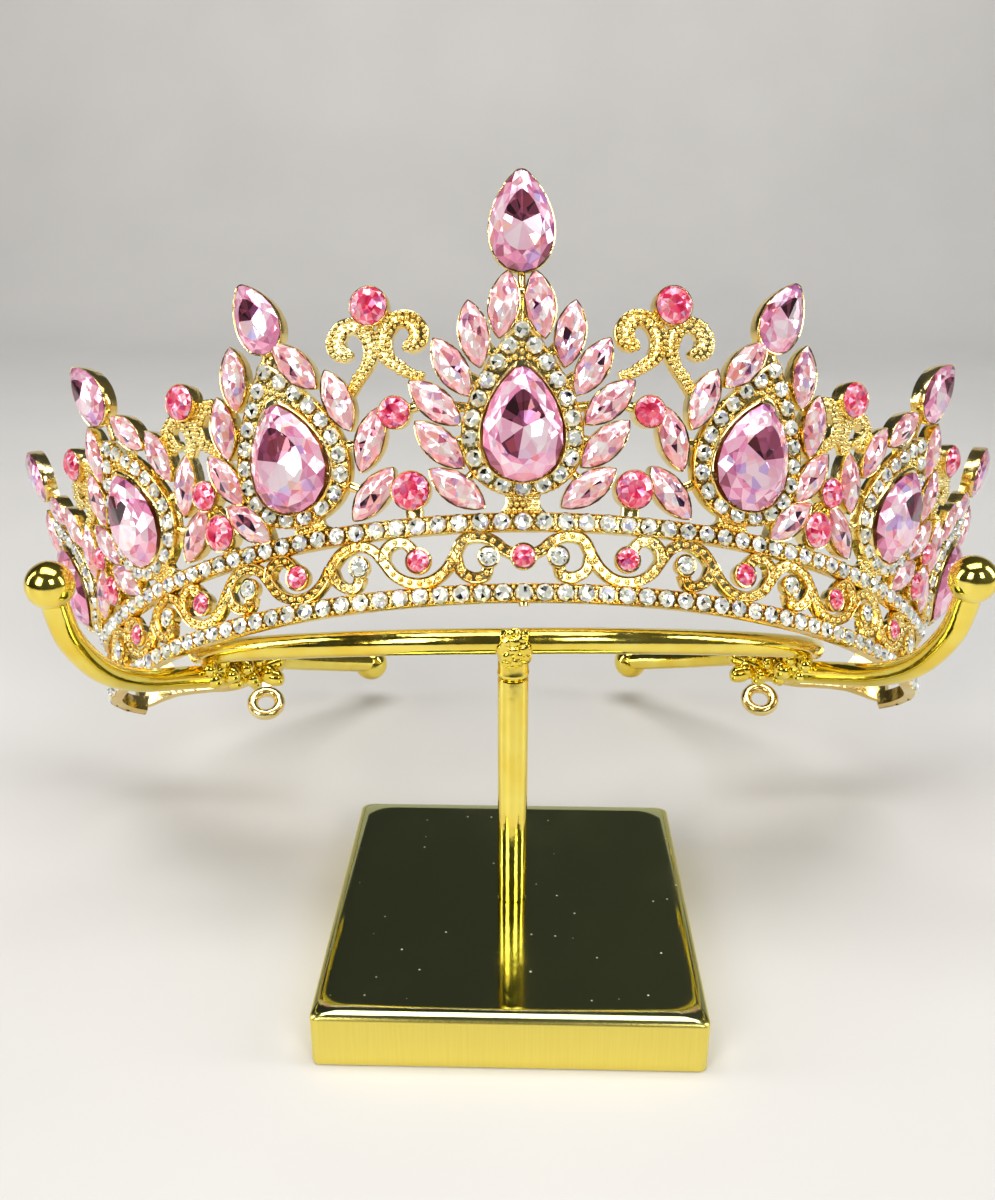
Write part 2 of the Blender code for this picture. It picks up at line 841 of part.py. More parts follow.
def ball(centre, radius, flat=1.0):
    bm = bmesh.new()
    place = Matrix.Translation(centre) @ Matrix.Diagonal((1, 1, flat, 1))
    bmesh.ops.create_uvsphere(bm, u_segments=8, v_segments=6, radius=radius * MM, matrix=place)
    return bm


# the ring in its tilted plane: half width, distance to the back
RING_HALF = (
    (0.0, 0.0), (16.0, 1.8), (32.0, 8.0), (46.0, 18.0), (55.5, 32.0),
    (58.0, 46.0), (55.5, 62.0), (48.5, 78.0), (40.0, 90.0), (31.5, 99.0),
)
# a cradle arm, from under the ring to its ball in front: side, back, height
ARM = (
    (46.5, 33.0, 35.3), (51.5, 27.5, 37.6), (57.0, 21.0, 40.3),
    (62.0, 13.5, 43.6), (65.5, 6.0, 49.0), (67.5, 0.0, 57.0), (68.0, -2.6, 64.5),
)


def holder():
    """Ring, cradle arms, balls, solder lumps and the stub above the post, as one body."""
    c = math.cos(RING_TILT)
    n = math.sin(RING_TILT)
    half = [(x, v * c, RING_HEIGHT - v * n) for x, v in RING_HALF]
    ring = [(-x, y, z) for x, y, z in half[:0:-1]] + half
    parts = [tube([turned(p) for p in smooth_path(ring, 2)], TUBE_RADIUS)]
    for side in (1, -1):
        x, y, z = half[-1]
        parts.append(ball(turned((side * x, y + 1.5, z - 0.8)), RING_BALL))
        line = [(side * x, y, z) for x, y, z in ARM]
        parts.append(tube([turned(p) for p in smooth_path(line, 2)], TUBE_RADIUS))
        x, y, z = line[-1]
        parts.append(ball(turned((x, y - 0.6, z + 2.6)), ARM_BALL))
        for x, y, z, radius in ((52.6, 26.6, 39.6, 3.1), (49.6, 30.4, 37.4, 2.6)):
            parts.append(ball(turned((side * x, y, z)), radius, 0.8))
    stub = [Vector((0, 0.0004, (RING_HEIGHT - STUB_LENGTH) * MM)), Vector((0, 0, RING_HEIGHT * MM))]
    parts.append(tube(stub, POST_RADIUS - 0.05, 12))
    gold = polished_gold("stand_gold")
    whole = finish_object("holder", parts[0], gold)
    for k, part in enumerate(parts[1:]):
        other = finish_object("holder_piece_%d" % k, part, gold)
        join = whole.modifiers.new("join_%d" % k, "BOOLEAN")
        join.operation = "UNION"
        join.solver = "EXACT"
        join.object = other
        other.hide_render = True
        other.display_type = "WIRE"
    return whole


def main():
    clear_scene()
    base_plate()
    post()
    holder()
    tiara_frame()
    loose_stones()


main()
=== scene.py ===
# The looks of a gilt tiara with pink and clear stones, resting on its small display stand.
# The casting is drawn flat, as arc length s and height h in millimetres, and every shape is then
# carried onto the flared wall that leans to the back, at a distance t out of the wall.
import math

import bpy
import numpy as np
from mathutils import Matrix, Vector


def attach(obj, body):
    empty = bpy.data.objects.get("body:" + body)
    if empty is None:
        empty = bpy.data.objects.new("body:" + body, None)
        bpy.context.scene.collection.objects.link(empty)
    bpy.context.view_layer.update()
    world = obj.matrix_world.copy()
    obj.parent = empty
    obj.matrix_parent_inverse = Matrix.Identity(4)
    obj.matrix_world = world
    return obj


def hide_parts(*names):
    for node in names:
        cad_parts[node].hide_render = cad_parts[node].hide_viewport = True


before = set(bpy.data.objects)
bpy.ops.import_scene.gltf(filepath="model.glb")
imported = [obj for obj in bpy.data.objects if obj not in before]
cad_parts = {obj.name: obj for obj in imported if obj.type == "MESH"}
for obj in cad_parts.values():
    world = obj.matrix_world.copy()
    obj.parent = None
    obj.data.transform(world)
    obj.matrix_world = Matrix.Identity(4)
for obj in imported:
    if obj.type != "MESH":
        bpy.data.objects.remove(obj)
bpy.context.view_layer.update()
mm = 0.001

wall = {
    "frontY": 3.7, "frontZ": 62.6, "shift": 1.7, "tilt": 44.2, "turn": 2.5,
    "baseRadius": 85.4, "arcEnd": 95.0, "curlRadius": 7.0, "curlTurn": 112, "curlFade": 5.0,
    "bandFlare": 13.5, "crestFlare": 24.0, "flareFrom": 8.0, "flareOver": 10.0,
}
castBack = -0.9     # the casting's flat back, as a distance out of the wall
rails = {"pitch": 3.2, "rise": 11.2, "half": 1.45, "end": 106.0, "crystal": 1.42}


# the wall

# turns a point about the post by the holder's small turn
def turnAbout(x, y, z):
    a = math.radians(wall["turn"])
    return np.stack([x * math.cos(a) - y * math.sin(a), x * math.sin(a) + y * math.cos(a), z], -1)


# place and heading along the base line: a circle, then a tight curl and a straight run inwards
def basePath(s, curled):
    side = np.where(s < 0, -1.0, 1.0)
    d = np.abs(s)
    big, small = wall["baseRadius"], wall["curlRadius"]
    start = wall["arcEnd"] / big
    heading = d / big
    x = big * np.sin(heading)
    y = big * (1 - np.cos(heading))
    if curled:
        past = d > wall["arcEnd"]
        full = math.radians(wall["curlTurn"])
        turn = np.clip((d - wall["arcEnd"]) / small, 0, full)
        straight = np.maximum(0, d - wall["arcEnd"] - small * full)
        head = start + turn
        curlX = big * math.sin(start) + small * (np.sin(head) - math.sin(start)) + straight * np.cos(head)
        curlY = (big * (1 - math.cos(start)) + small * (math.cos(start) - np.cos(head))
                 + straight * np.sin(head))
        x = np.where(past, curlX, x)
        y = np.where(past, curlY, y)
        heading = np.where(past, head, heading)
    return side * x, y, side * heading


# how far out and up the wall is at height h: straight, an arc of growing flare, straight again
def wallProfile(h):
    low, high = math.radians(wall["bandFlare"]), math.radians(wall["crestFlare"])
    bend = (high - low) / wall["flareOver"]
    over = np.clip(h - wall["flareFrom"], 0, wall["flareOver"])
    flare = low + bend * over
    first = np.minimum(h, wall["flareFrom"])
    rest = np.maximum(0, h - wall["flareFrom"] - wall["flareOver"])
    out = first * math.sin(low) + (math.cos(low) - np.cos(flare)) / bend + rest * np.sin(flare)
    up = first * math.cos(low) + (np.sin(flare) - math.sin(low)) / bend + rest * np.cos(flare)
    return out, up, flare


# arc length, height and distance out of the wall, as a point in millimetres
def wallPoint(s, h, t):
    s, h, t = np.broadcast_arrays(np.asarray(s, float), np.asarray(h, float), np.asarray(t, float))
    fade = np.clip((h - rails["rise"] - rails["half"]) / wall["curlFade"], 0, 1)
    low, high = basePath(s, True), basePath(s, False)
    x, y, heading = (a + (b - a) * fade for a, b in zip(low, high))
    out, up, flare = wallProfile(h)
    out = out + t * np.cos(flare)
    up = up - t * np.sin(flare)
    x = x + out * np.sin(heading)
    y = y - out * np.cos(heading)
    c, n = math.cos(math.radians(wall["tilt"])), math.sin(math.radians(wall["tilt"]))
    return turnAbout(wall["shift"] + x, wall["frontY"] + y * c + up * n, wall["frontZ"] - y * n + up * c)


# growth of the wall's girth with height
def girth(h):
    return (wall["baseRadius"] + wallProfile(np.asarray(h, float))[0]) / wall["baseRadius"]


# axes of the wall at points: along, up and outwards, turned by a lean in degrees towards plus s
def wallAxes(s, h, t, lean=0.0):
    step = 0.05
    s, h, t, lean = np.broadcast_arrays(*(np.atleast_1d(np.asarray(a, float)) for a in (s, h, t, lean)))
    along = wallPoint(s + step, h, t) - wallPoint(s - step, h, t)
    up = wallPoint(s, h + step, t) - wallPoint(s, h - step, t)
    along /= np.linalg.norm(along, axis=-1, keepdims=True)
    out = np.cross(along, up)
    out /= np.linalg.norm(out, axis=-1, keepdims=True)
    up = np.cross(out, along)
    c = np.cos(np.radians(lean))[:, None]
    n = np.sin(np.radians(lean))[:, None]
    return wallPoint(s, h, t), np.stack([along * c - up * n, up * c + along * n, out], 1)


# mesh parts

# each face carries a value from 0 to 1, triangles first, which the stones' colours are read from; it is
# painted light and shade, the dark reflections and white highlights of each facet
def part(verts, tris=None, quads=None, tint=0.0, smooth=True):
    tris = np.zeros((0, 3), int) if tris is None else np.asarray(tris, int)
    quads = np.zeros((0, 4), int) if quads is None else np.asarray(quads, int)
    made = {"v": np.asarray(verts, float), "t": tris, "q": quads, "smooth": smooth}
    made["tint"] = np.broadcast_to(tint, (len(tris) + len(quads),)).astype(float)
    return made


# turns a closed part the right way round by the sign of its volume
def outward(made):
    v = made["v"] - made["v"].mean(0)
    tris = np.concatenate([made["t"], made["q"][:, :3], made["q"][:, [0, 2, 3]]])
    volume = np.einsum("ij,ij->i", v[tris[:, 0]], np.cross(v[tris[:, 1]], v[tris[:, 2]])).sum()
    if volume < 0:
        made["t"] = made["t"][:, ::-1]
        made["q"] = made["q"][:, ::-1]
    return made


# a closed tube of quads: rows of points along the first axis, a closed section along the second
def tubePart(points, closedRun=False):
    runs, around = points.shape[:2]
    i = np.arange(runs if closedRun else runs - 1)[:, None]
    j = np.arange(around)[None, :]
    nextI, nextJ = (i + 1) % runs, (j + 1) % around
    quads = np.stack(np.broadcast_arrays(
        i * around + j, i * around + nextJ, nextI * around + nextJ, nextI * around + j), -1)
    tris = None
    if not closedRun:
        fan = np.arange(1, around - 1)
        head = np.stack([0 * fan, fan + 1, fan], -1)
        tris = np.concatenate([head, (runs - 1) * around + head[:, ::-1]])
    return outward(part(points.reshape(-1, 3), tris, quads.reshape(-1, 4)))


# many copies of one part, each with its own place, axes and size
def copies(shape, places, axes, size=1.0):
    size = np.broadcast_to(np.asarray(size, float).reshape(-1, 1, 1), (len(places), 1, 1))
    verts = places[:, None, :] + np.einsum("kj,njc->nkc", shape["v"], axes) * size
    shift = (np.arange(len(places)) * len(shape["v"]))[:, None, None]
    made = part(verts.reshape(-1, 3), (shape["t"][None] + shift).reshape(-1, 3),
                (shape["q"][None] + shift).reshape(-1, 4), 0.0, shape["smooth"])
    triPaintedLight, quadPaintedLight = np.split(shape["tint"], [len(shape["t"])])
    made["tint"] = np.concatenate([np.tile(triPaintedLight, len(places)), np.tile(quadPaintedLight, len(places))])
    return made


def makePiece(name, parts, finish, smoothAngle=None):
    verts = np.concatenate([p["v"] for p in parts]) * mm
    start = np.cumsum([0] + [len(p["v"]) for p in parts])
    tris = np.concatenate([p["t"] + k for p, k in zip(parts, start)])
    quads = np.concatenate([p["q"] + k for p, k in zip(parts, start)])
    tint = np.concatenate([p["tint"][:len(p["t"])] for p in parts]
                          + [p["tint"][len(p["t"]):] for p in parts])
    soft = np.concatenate([np.full(len(p["t"]), p["smooth"]) for p in parts]
                          + [np.full(len(p["q"]), p["smooth"]) for p in parts])
    mesh = bpy.data.meshes.new(name)
    mesh.vertices.add(len(verts))
    mesh.vertices.foreach_set("co", verts.ravel())
    corners = np.concatenate([tris.ravel(), quads.ravel()])
    mesh.loops.add(len(corners))
    mesh.loops.foreach_set("vertex_index", corners)
    mesh.polygons.add(len(tris) + len(quads))
    starts = np.concatenate([np.arange(len(tris)) * 3, len(tris) * 3 + np.arange(len(quads)) * 4])
    mesh.polygons.foreach_set("loop_start", starts)
    mesh.update(calc_edges=True)
    mesh.materials.append(finish)
    mesh.polygons.foreach_set("use_smooth", soft)
    if tint.any():
        mesh.attributes.new("tint", "FLOAT", "FACE").data.foreach_set("value", tint)
    if smoothAngle:
        mesh.set_sharp_from_angle(angle=math.radians(smoothAngle))
    obj = bpy.data.objects.new(name, mesh)
    bpy.context.scene.collection.objects.link(obj)
    print("made", name, len(tris) + 2 * len(quads), "triangles")
    return obj


# curves and outlines

# Catmull-Rom: a cubic through each pair of points, its ends bent by the points beside them
def smoothPath(points, steps):
    p = np.asarray(points, float)
    p = np.concatenate([p[:1], p, p[-1:]])
    t = (np.arange(steps) / steps)[None, :, None]
    a, b, c, d = (p[k:len(p) - 3 + k, None, :] for k in range(4))
    body = 0.5 * (2 * b + (c - a) * t + (2 * a - 5 * b + 4 * c - d) * t ** 2
                  + (3 * b - a - 3 * c + d) * t ** 3)
    return np.concatenate([body.reshape(-1, p.shape[1]), p[-2:-1]])


# points at even spacing along a path, centred on its length
def evenSteps(path, spacing, margin):
    run = np.linalg.norm(np.diff(path, axis=0), axis=1)
    length = np.concatenate([[0], np.cumsum(run)])
    count = max(1, int((length[-1] - 2 * margin) / spacing) + 1)
    at = length[-1] / 2 + (np.arange(count) - (count - 1) / 2) * spacing
    return np.stack([np.interp(at, length, path[:, k]) for k in range(path.shape[1])], -1)


def pathAcross(path):
    along = np.gradient(path, axis=0)
    along /= np.linalg.norm(along, axis=1, keepdims=True)
    return np.stack([-along[:, 1], along[:, 0]], -1)


# a pear: x as the sine of the turn times the sine of its half, tip at the top
def dropAt(turn, half):
    a = 2 * np.pi * turn
    return np.stack([-half[0] * np.sin(a) * np.abs(np.sin(a / 2)) / 0.77, half[1] * np.cos(a)], -1)


# a pear stone: fuller towards the tip, which is ground blunt
def pearAt(turn, half):
    a = 2 * np.pi * turn
    x = -half[0] * np.sin(a) * np.abs(np.sin(a / 2)) ** 0.55 / 0.8515
    return np.stack([x, half[1] * np.minimum(np.cos(a), 0.965)], -1)


# a boat: the half width is one less the height squared, to the power 0.8, which makes it full
def navetteAt(turn, half):
    a = 2 * np.pi * turn
    y = np.cos(a)
    x = -half[0] * np.sign(np.round(np.sin(a), 6)) * np.maximum(1 - y * y, 0) ** 0.8
    return np.stack([x, half[1] * y], -1)


def roundAt(turn, half):
    a = 2 * np.pi * turn
    return np.stack([-half[0] * np.sin(a), half[1] * np.cos(a)], -1)


# a value from 0 to 1 that looks drawn by lot but is the same each run: the fraction of a large sine
def lot(k, seed):
    return np.mod(np.abs(np.sin(k * 12.9898 + seed * 78.233) * 43758.5453), 1.0)


def atHeight(flat, height):
    return np.column_stack([flat, np.full(len(flat), height)])


# a cut stone: rings of an outline from the girdle up to a star of large facets, each ring shifted by
# part of a facet, and a cone below; each facet's colour is painted light, dark for painted reflections and
# white for painted highlights. Levels are (scale, height, shift, low light, high light). Star is (how near
# the top, from -1 to 1, all facets go dark, dark level, low light, high light, facets that share one draw,
# share of draws that go dark); the lower facets of the star are painted lighter, the upper ones painted in
# shade.
def cutStone(outlineAt, half, count, centre, levels, star, seed=0.0):
    k = np.arange(count)
    nextK = (k + 1) % count
    verts = [np.array([[0, centre[0], levels[0][1] - 0.35 * half[0]], [0, centre[0], centre[1]]])]
    tris, tint = [], []
    for scale, height, phase, low, high in levels:
        ring = outlineAt((k + phase) / count, half) * scale
        ring[:, 1] += centre[0] * (1 - scale)
        verts.append(atHeight(ring, height))
    tris.append(np.stack([0 * k, 2 + nextK, 2 + k], -1))
    tint.append(np.full(count, 0.5))
    for level in range(len(levels) - 1):
        a, b = 2 + level * count, 2 + (level + 1) * count
        low, high = levels[level][3:]
        for draw, facets in ((0.0, (a + k, a + nextK, b + k)), (0.5, (b + k, a + nextK, b + nextK))):
            tris.append(np.stack(facets, -1))
            tint.append(low + (high - low) * lot(k, seed + level + draw))
    darkFrom, paintedDarkLevel, starLow, starHigh, together, darkShare = star
    last = 2 + (len(levels) - 1) * count
    tris.append(np.stack([last + k, last + nextK, 0 * k + 1], -1))
    # painted light on the star: facets towards the top, and a few drawn by lot, are painted dark as shade
    # and reflection; the rest are painted lighter towards the bottom
    up = np.cos(2 * np.pi * (k + levels[-1][2] + 0.5) / count)
    chance = lot(k // together, seed + 9)
    share = 0.55 * chance + 0.45 * (0.5 - 0.5 * up)
    dark = paintedDarkLevel * (0.4 + 1.2 * lot(k, seed + 4))
    isDark = (up > darkFrom) | (chance < darkShare)
    tint.append(np.where(isDark, dark, starLow + (starHigh - starLow) * share))
    return outward(part(np.concatenate(verts), np.concatenate(tris), None, np.concatenate(tint), False))


# a setting: a closed cup that follows an outline, its lip a little proud of the girdle
def cupPart(outlineAt, half, high, thick, count):
    k = np.arange(count) / count
    low = castBack
    rows = []
    for scale, grow, height in (
            (0.03, 0, low), (1, -0.3 * thick, low), (1, thick * 0.8, low + 0.5 * (high - low)),
            (1, thick, high - 0.12), (1, thick * 0.7, high), (1, 0.0, high - 0.04),
            (1, -0.14, low + 0.4), (0.03, 0, low + 0.4)):
        size = ((half[0] + grow) * scale, (half[1] + grow * 1.25) * scale)
        rows.append(atHeight(outlineAt(k, size), height))
    return tubePart(np.stack(rows))


# a thin round rim about a small stone
def rimPart(inner, outer, low, high, sides=12):
    turn = np.arange(sides) / sides
    rows = []
    for radius, height in ((outer, low), (outer - 0.04, high - 0.06), (0.5 * (inner + outer), high),
                           (inner, high - 0.1)):
        rows.append(atHeight(roundAt(turn, (radius, radius)), height))
    return tubePart(np.stack(rows), closedRun=True)


# a bead of radius 1: half a ball, with its flat side below and its top cut level
def beadPart(sides, rings):
    a = 2 * np.pi * np.arange(sides) / sides
    rows = [np.column_stack([np.cos(a) * math.cos(e), np.sin(a) * math.cos(e), np.full(sides, math.sin(e))])
            for e in np.linspace(0, np.pi / 2 * 0.72, rings)]
    return tubePart(np.stack(rows))


# a ribbon of metal along a flat path; section rows are (across, out) with across from -1 to 1
def ribbon(path, width, section, toWall):
    across = pathAcross(path)
    rows = np.asarray(section, float)
    flat = path[:, None, :] + across[:, None, :] * rows[None, :, :1] * np.reshape(width, (-1, 1, 1)) / 2
    t = np.broadcast_to(rows[None, :, 1], flat.shape[:2])
    return tubePart(toWall(flat[..., 0], flat[..., 1], t))


# a round wire along a path in space; the section is carried by the cross with the upright
def wire(path, radius, sides=20, closedRun=False):
    along = np.gradient(path, axis=0) if not closedRun else np.roll(path, -1, 0) - np.roll(path, 1, 0)
    along /= np.linalg.norm(along, axis=1, keepdims=True)
    side = np.cross(along, [0.0, 0.0, 1.0])
    side /= np.linalg.norm(side, axis=1, keepdims=True)
    up = np.cross(side, along)
    a = 2 * np.pi * np.arange(sides) / sides
    radius = np.reshape(radius, (-1, 1, 1))
    points = path[:, None, :] + radius * (np.cos(a)[None, :, None] * side[:, None, :]
                                          + np.sin(a)[None, :, None] * up[:, None, :])
    return tubePart(points, closedRun=closedRun)


# a ball or lump: a sphere whose radius is pushed in and out by a few waves
def lump(centre, size, rough=0.0, seed=0.0, sides=28, rings=16):
    u = 2 * np.pi * np.arange(sides) / sides
    v = np.linspace(0.04, np.pi - 0.04, rings)
    d = np.stack([np.sin(v)[:, None] * np.cos(u), np.sin(v)[:, None] * np.sin(u),
                  np.cos(v)[:, None] + 0 * u], -1)
    wave = (np.sin(5 * d[..., 0] + seed) * np.sin(6 * d[..., 1] + 2 * seed)
            + 0.6 * np.sin(9 * d[..., 2] + 3 * seed) * np.sin(8 * d[..., 0] - seed))
    points = np.asarray(centre) + d * np.asarray(size) * (1 + rough * wave)[..., None]
    return tubePart(points)


# materials

def linear(code):
    value = [int(code[k:k + 2], 16) / 255 for k in (0, 2, 4)]
    return tuple(c / 12.92 if c <= 0.04045 else ((c + 0.055) / 1.055) ** 2.4 for c in value) + (1.0,)


# adds a shader node, sets its fields and plain values, and links its inputs
def addNode(tree, kind, settings=None, values=None, links=None):
    node = tree.nodes.new("ShaderNode" + kind)
    for key, value in (settings or {}).items():
        setattr(node, key, value)
    for key, value in (values or {}).items():
        node.inputs[key].default_value = value
    for key, socket in (links or {}).items():
        tree.links.new(socket, node.inputs[key])
    return node


# a material, its tree and the object's own coordinates in metres
def newMaterial(name, values):
    made = bpy.data.materials.new(name)
    made.use_nodes = True
    tree = made.node_tree
    for key, value in values.items():
        tree.nodes["Principled BSDF"].inputs[key].default_value = value
    return made, tree, addNode(tree, "TexCoord").outputs["Object"]


def plug(tree, sockets):
    for key, socket in sockets.items():
        tree.links.new(socket, tree.nodes["Principled BSDF"].inputs[key])


# a stop's value is a colour code, a colour or a grey
def ramp(tree, source, stops):
    node = addNode(tree, "ValToRGB", links={"Fac": source})
    while len(node.color_ramp.elements) < len(stops):
        node.color_ramp.elements.new(0.5)
    for element, (place, colour) in zip(node.color_ramp.elements, stops):
        element.position = place
        if isinstance(colour, float):
            colour = (colour, colour, colour, 1.0)
        element.color = linear(colour) if isinstance(colour, str) else colour
    return node.outputs["Color"]


def combine(tree, operation, first, second, kind="Math"):
    return addNode(tree, kind, {"operation": operation}, links={0: first, 1: second}).outputs[0]


# cloudy noise; its patches are about 1 / scale metres across
def noise(tree, scale, detail, place):
    node = addNode(tree, "TexNoise", values={"Scale": scale, "Detail": detail}, links={"Vector": place})
    return node.outputs["Fac"]


# gold plate: colour that drifts over 8 mm, polish that clouds over 2 mm, and an uneven surface with a
# 0.3 mm grain that breaks up reflections
def goldPlate(name, light, deep, polish, waveScale, waveDepth, grainDepth):
    made, tree, place = newMaterial(name, {"Metallic": 1.0})
    colour = ramp(tree, noise(tree, 120.0, 2.0, place), ((0.35, deep), (0.65, light)))
    rough = ramp(tree, noise(tree, 420.0, 4.0, place), ((0.3, polish[0]), (0.75, polish[1])))
    first = addNode(tree, "Bump", values={"Strength": 0.5, "Distance": waveDepth},
                    links={"Height": noise(tree, waveScale, 2.0, place)})
    second = addNode(tree, "Bump", values={"Strength": 0.4, "Distance": grainDepth},
                     links={"Height": noise(tree, 3200.0, 2.0, place), "Normal": first.outputs["Normal"]})
    plug(tree, {"Base Color": colour, "Roughness": rough, "Normal": second.outputs["Normal"]})
    return made


# the plate: a mirror on top with dust specks, and upright brush lines 0.2 mm apart on its edges
def plateBrass():
    made, tree, place = newMaterial("polishedPlateBrass", {"Metallic": 1.0})
    split = addNode(tree, "SeparateXYZ", links={"Vector": place})
    onTop = addNode(tree, "MapRange", {"interpolation_type": "SMOOTHSTEP"},
                    {"From Min": 0.0083, "From Max": 0.0092}, {"Value": split.outputs["Z"]})
    onTop = onTop.outputs["Result"]
    stretched = addNode(tree, "Mapping", values={"Scale": (1.0, 1.0, 0.02)}, links={"Vector": place})
    brush = noise(tree, 5200.0, 3.0, stretched.outputs["Vector"])
    dust = addNode(tree, "TexVoronoi", {"voronoi_dimensions": "2D"}, {"Scale": 210.0}, {"Vector": place})
    speck = ramp(tree, dust.outputs["Distance"], ((0.015, 1.0), (0.045, 0.0)))
    few = noise(tree, 70.0, 3.0, place)
    where = ramp(tree, few, ((0.42, 0.0), (0.55, 1.0)))
    strong = ramp(tree, dust.outputs["Color"], ((0.45, 0.0), (0.85, 1.0)))
    dusty = combine(tree, "MULTIPLY", combine(tree, "MULTIPLY", speck, where), strong)
    smear = ramp(tree, few, ((0.3, 0.04), (0.75, 0.14)))
    topRough = combine(tree, "ADD", smear, dusty)
    sideRough = ramp(tree, brush, ((0.3, 0.3), (0.7, 0.36)))
    rough = addNode(tree, "Mix", links={"Factor": onTop, "A": sideRough, "B": topRough})
    sideColour = ramp(tree, brush, ((0.2, "e8d464"), (0.8, "eedd70")))
    # the top's brass is painted greyer and greener than the edges': a painted reflection of the dark room in
    # the mirror top; the pale specks on it are dust
    topColour = addNode(tree, "Mix", {"data_type": "RGBA"},
                        {6: linear("b9bd84"), 7: linear("fffbe8")}, {"Factor": dusty})
    colour = addNode(tree, "Mix", {"data_type": "RGBA"}, None,
                     {"Factor": onTop, 6: sideColour, 7: topColour.outputs[2]})
    lines = addNode(tree, "Bump", values={"Strength": 0.1, "Distance": 0.00001}, links={"Height": brush})
    plug(tree, {"Base Color": colour.outputs[2], "Roughness": rough.outputs["Result"],
                "Normal": lines.outputs["Normal"]})
    return made


# foiled glass: each facet's painted light level, broken by cells the size of the small facets seen through
# the stone, picks the colour, so the stone's light and shade are painted into it; each cell also leans its
# own way, so it mirrors its own patch of the room, and a few cells are painted with a peach or lavender
# glint
def foiledGlass(name, cell, lean, stir, share, stops):
    made, tree, place = newMaterial(name, {"Metallic": share, "Roughness": 0.07, "IOR": 1.56,
                                           "Coat Weight": 1.0, "Coat Roughness": 0.015, "Coat IOR": 1.56})
    cells = addNode(tree, "TexVoronoi", values={"Scale": 1 / (cell * mm)}, links={"Vector": place})
    split = addNode(tree, "SeparateXYZ", links={"Vector": cells.outputs["Color"]})
    tint = addNode(tree, "Attribute", {"attribute_name": "tint"}).outputs["Fac"]
    shift = addNode(tree, "MapRange", values={"To Min": -stir, "To Max": stir},
                    links={"Value": split.outputs["Z"]}).outputs["Result"]
    value = combine(tree, "ADD", tint, shift)
    # painted glints: a few cells tinted peach or lavender, the coloured fire of a cut stone
    glint = ramp(tree, split.outputs["X"], ((0.0, 1.0), (0.7, 1.0), (0.78, "ffdcb8"), (0.86, 1.0),
                                            (0.93, "c9c6ff")))
    colour = addNode(tree, "Mix", {"data_type": "RGBA", "blend_type": "MULTIPLY"}, {"Factor": 0.8},
                     {6: ramp(tree, value, stops), 7: glint})
    centred = addNode(tree, "VectorMath", {"operation": "SUBTRACT"}, {1: (0.5, 0.5, 0.5)},
                      {0: cells.outputs["Color"]}).outputs[0]
    leaning = addNode(tree, "VectorMath", {"operation": "SCALE"}, {"Scale": lean}, {0: centred}).outputs[0]
    facing = addNode(tree, "NewGeometry").outputs["Normal"]
    together = combine(tree, "ADD", facing, leaning, "VectorMath")
    normal = addNode(tree, "VectorMath", {"operation": "NORMALIZE"}, None, {0: together}).outputs[0]
    plug(tree, {"Base Color": colour.outputs[2], "Normal": normal})
    return made


# the tiara's casting: pale warm gold with the small hollows of a cast surface, so it glitters softly
castGold = goldPlate("paleCastGold", "f9e6a4", "eecb70", (0.1, 0.26), 700.0, 0.00025, 0.00003)
# ring, arms and post: lemon gold, polished almost to a mirror, with long slow waves
standGold = goldPlate("polishedStandGold", "fbe974", "f3d452", (0.07, 0.18), 260.0, 0.0002, 0.00001)
brass = plateBrass()
# small clear stones: painted dark reflections in some facets, and hard white sparks painted as highlights
clearGlass = foiledGlass("foiledClearCrystal", 0.7, 0.45, 0.16, 0.45, (
    (0.0, "1c1c18"), (0.16, "74766c"), (0.36, "e2ead8"), (0.6, "fbfff6")))
# pears: deep plum in a few facets, rose to nearly white in the others; the plum is painted shade and the
# near white a painted highlight
roseGlass = foiledGlass("foiledRoseCrystal", 1.9, 0.22, 0.08, 0.3, (
    (0.0, "331820"), (0.16, "a2526e"), (0.34, "f392bd"), (0.62, "fbc9de"), (0.95, "fff5f9")))
# navettes: pale salmon pink with many small glints, painted into the colour
paleGlass = foiledGlass("foiledPaleRoseCrystal", 1.1, 0.3, 0.2, 0.3, (
    (0.0, "3a2338"), (0.16, "c8687f"), (0.38, "f8a4ac"), (0.68, "fdcbcd"), (0.98, "fff8f8")))
# loose rounds: saturated coral pink, light in the middle, with facets painted lighter and darker as light
# and shade
coralGlass = foiledGlass("foiledCoralCrystal", 0.9, 0.25, 0.16, 0.3, (
    (0.0, "b3143e"), (0.3, "f43560"), (0.62, "fd6c8e"), (0.97, "ffccd8")))
print("materials ready")


# band: two rails of crystals with scrollwork between them

scroll = {
    "width": 1.8, "beadRadius": 0.5, "beadSpacing": 1.55, "stoneHeight": 4.2,
    "period": 6.3, "waves": 4, "firstPink": 5.0, "firstClear": 1.65, "clearAfterPink": 2.95,
    "pinkRadius": 1.85, "clearRadius": 1.5,
    "main": ((-1.75, 4.8), (-1.3, 2.6), (-0.6, 1.0), (0.3, 0.8), (1.2, 2.2), (1.75, 4.6), (2.2, 6.5),
             (2.95, 7.7), (3.9, 6.9), (4.5, 4.8)),
    "topHook": ((1.75, 4.6), (1.65, 6.4), (1.2, 7.5), (0.65, 7.3), (0.2, 5.6)),
    "lowHook": ((4.5, 4.8), (4.25, 2.6), (3.7, 1.2), (3.2, 1.3), (2.98, 2.9)),
    "firstWave": ((0.3, 4.4), (0.9, 5.4), (1.4, 6.8), (2.1, 7.6), (2.85, 7.1), (3.25, 4.8)),
    "firstHook": ((3.2, 4.8), (3.0, 2.3), (2.4, 1.1), (1.85, 1.4), (1.68, 2.9)),
}
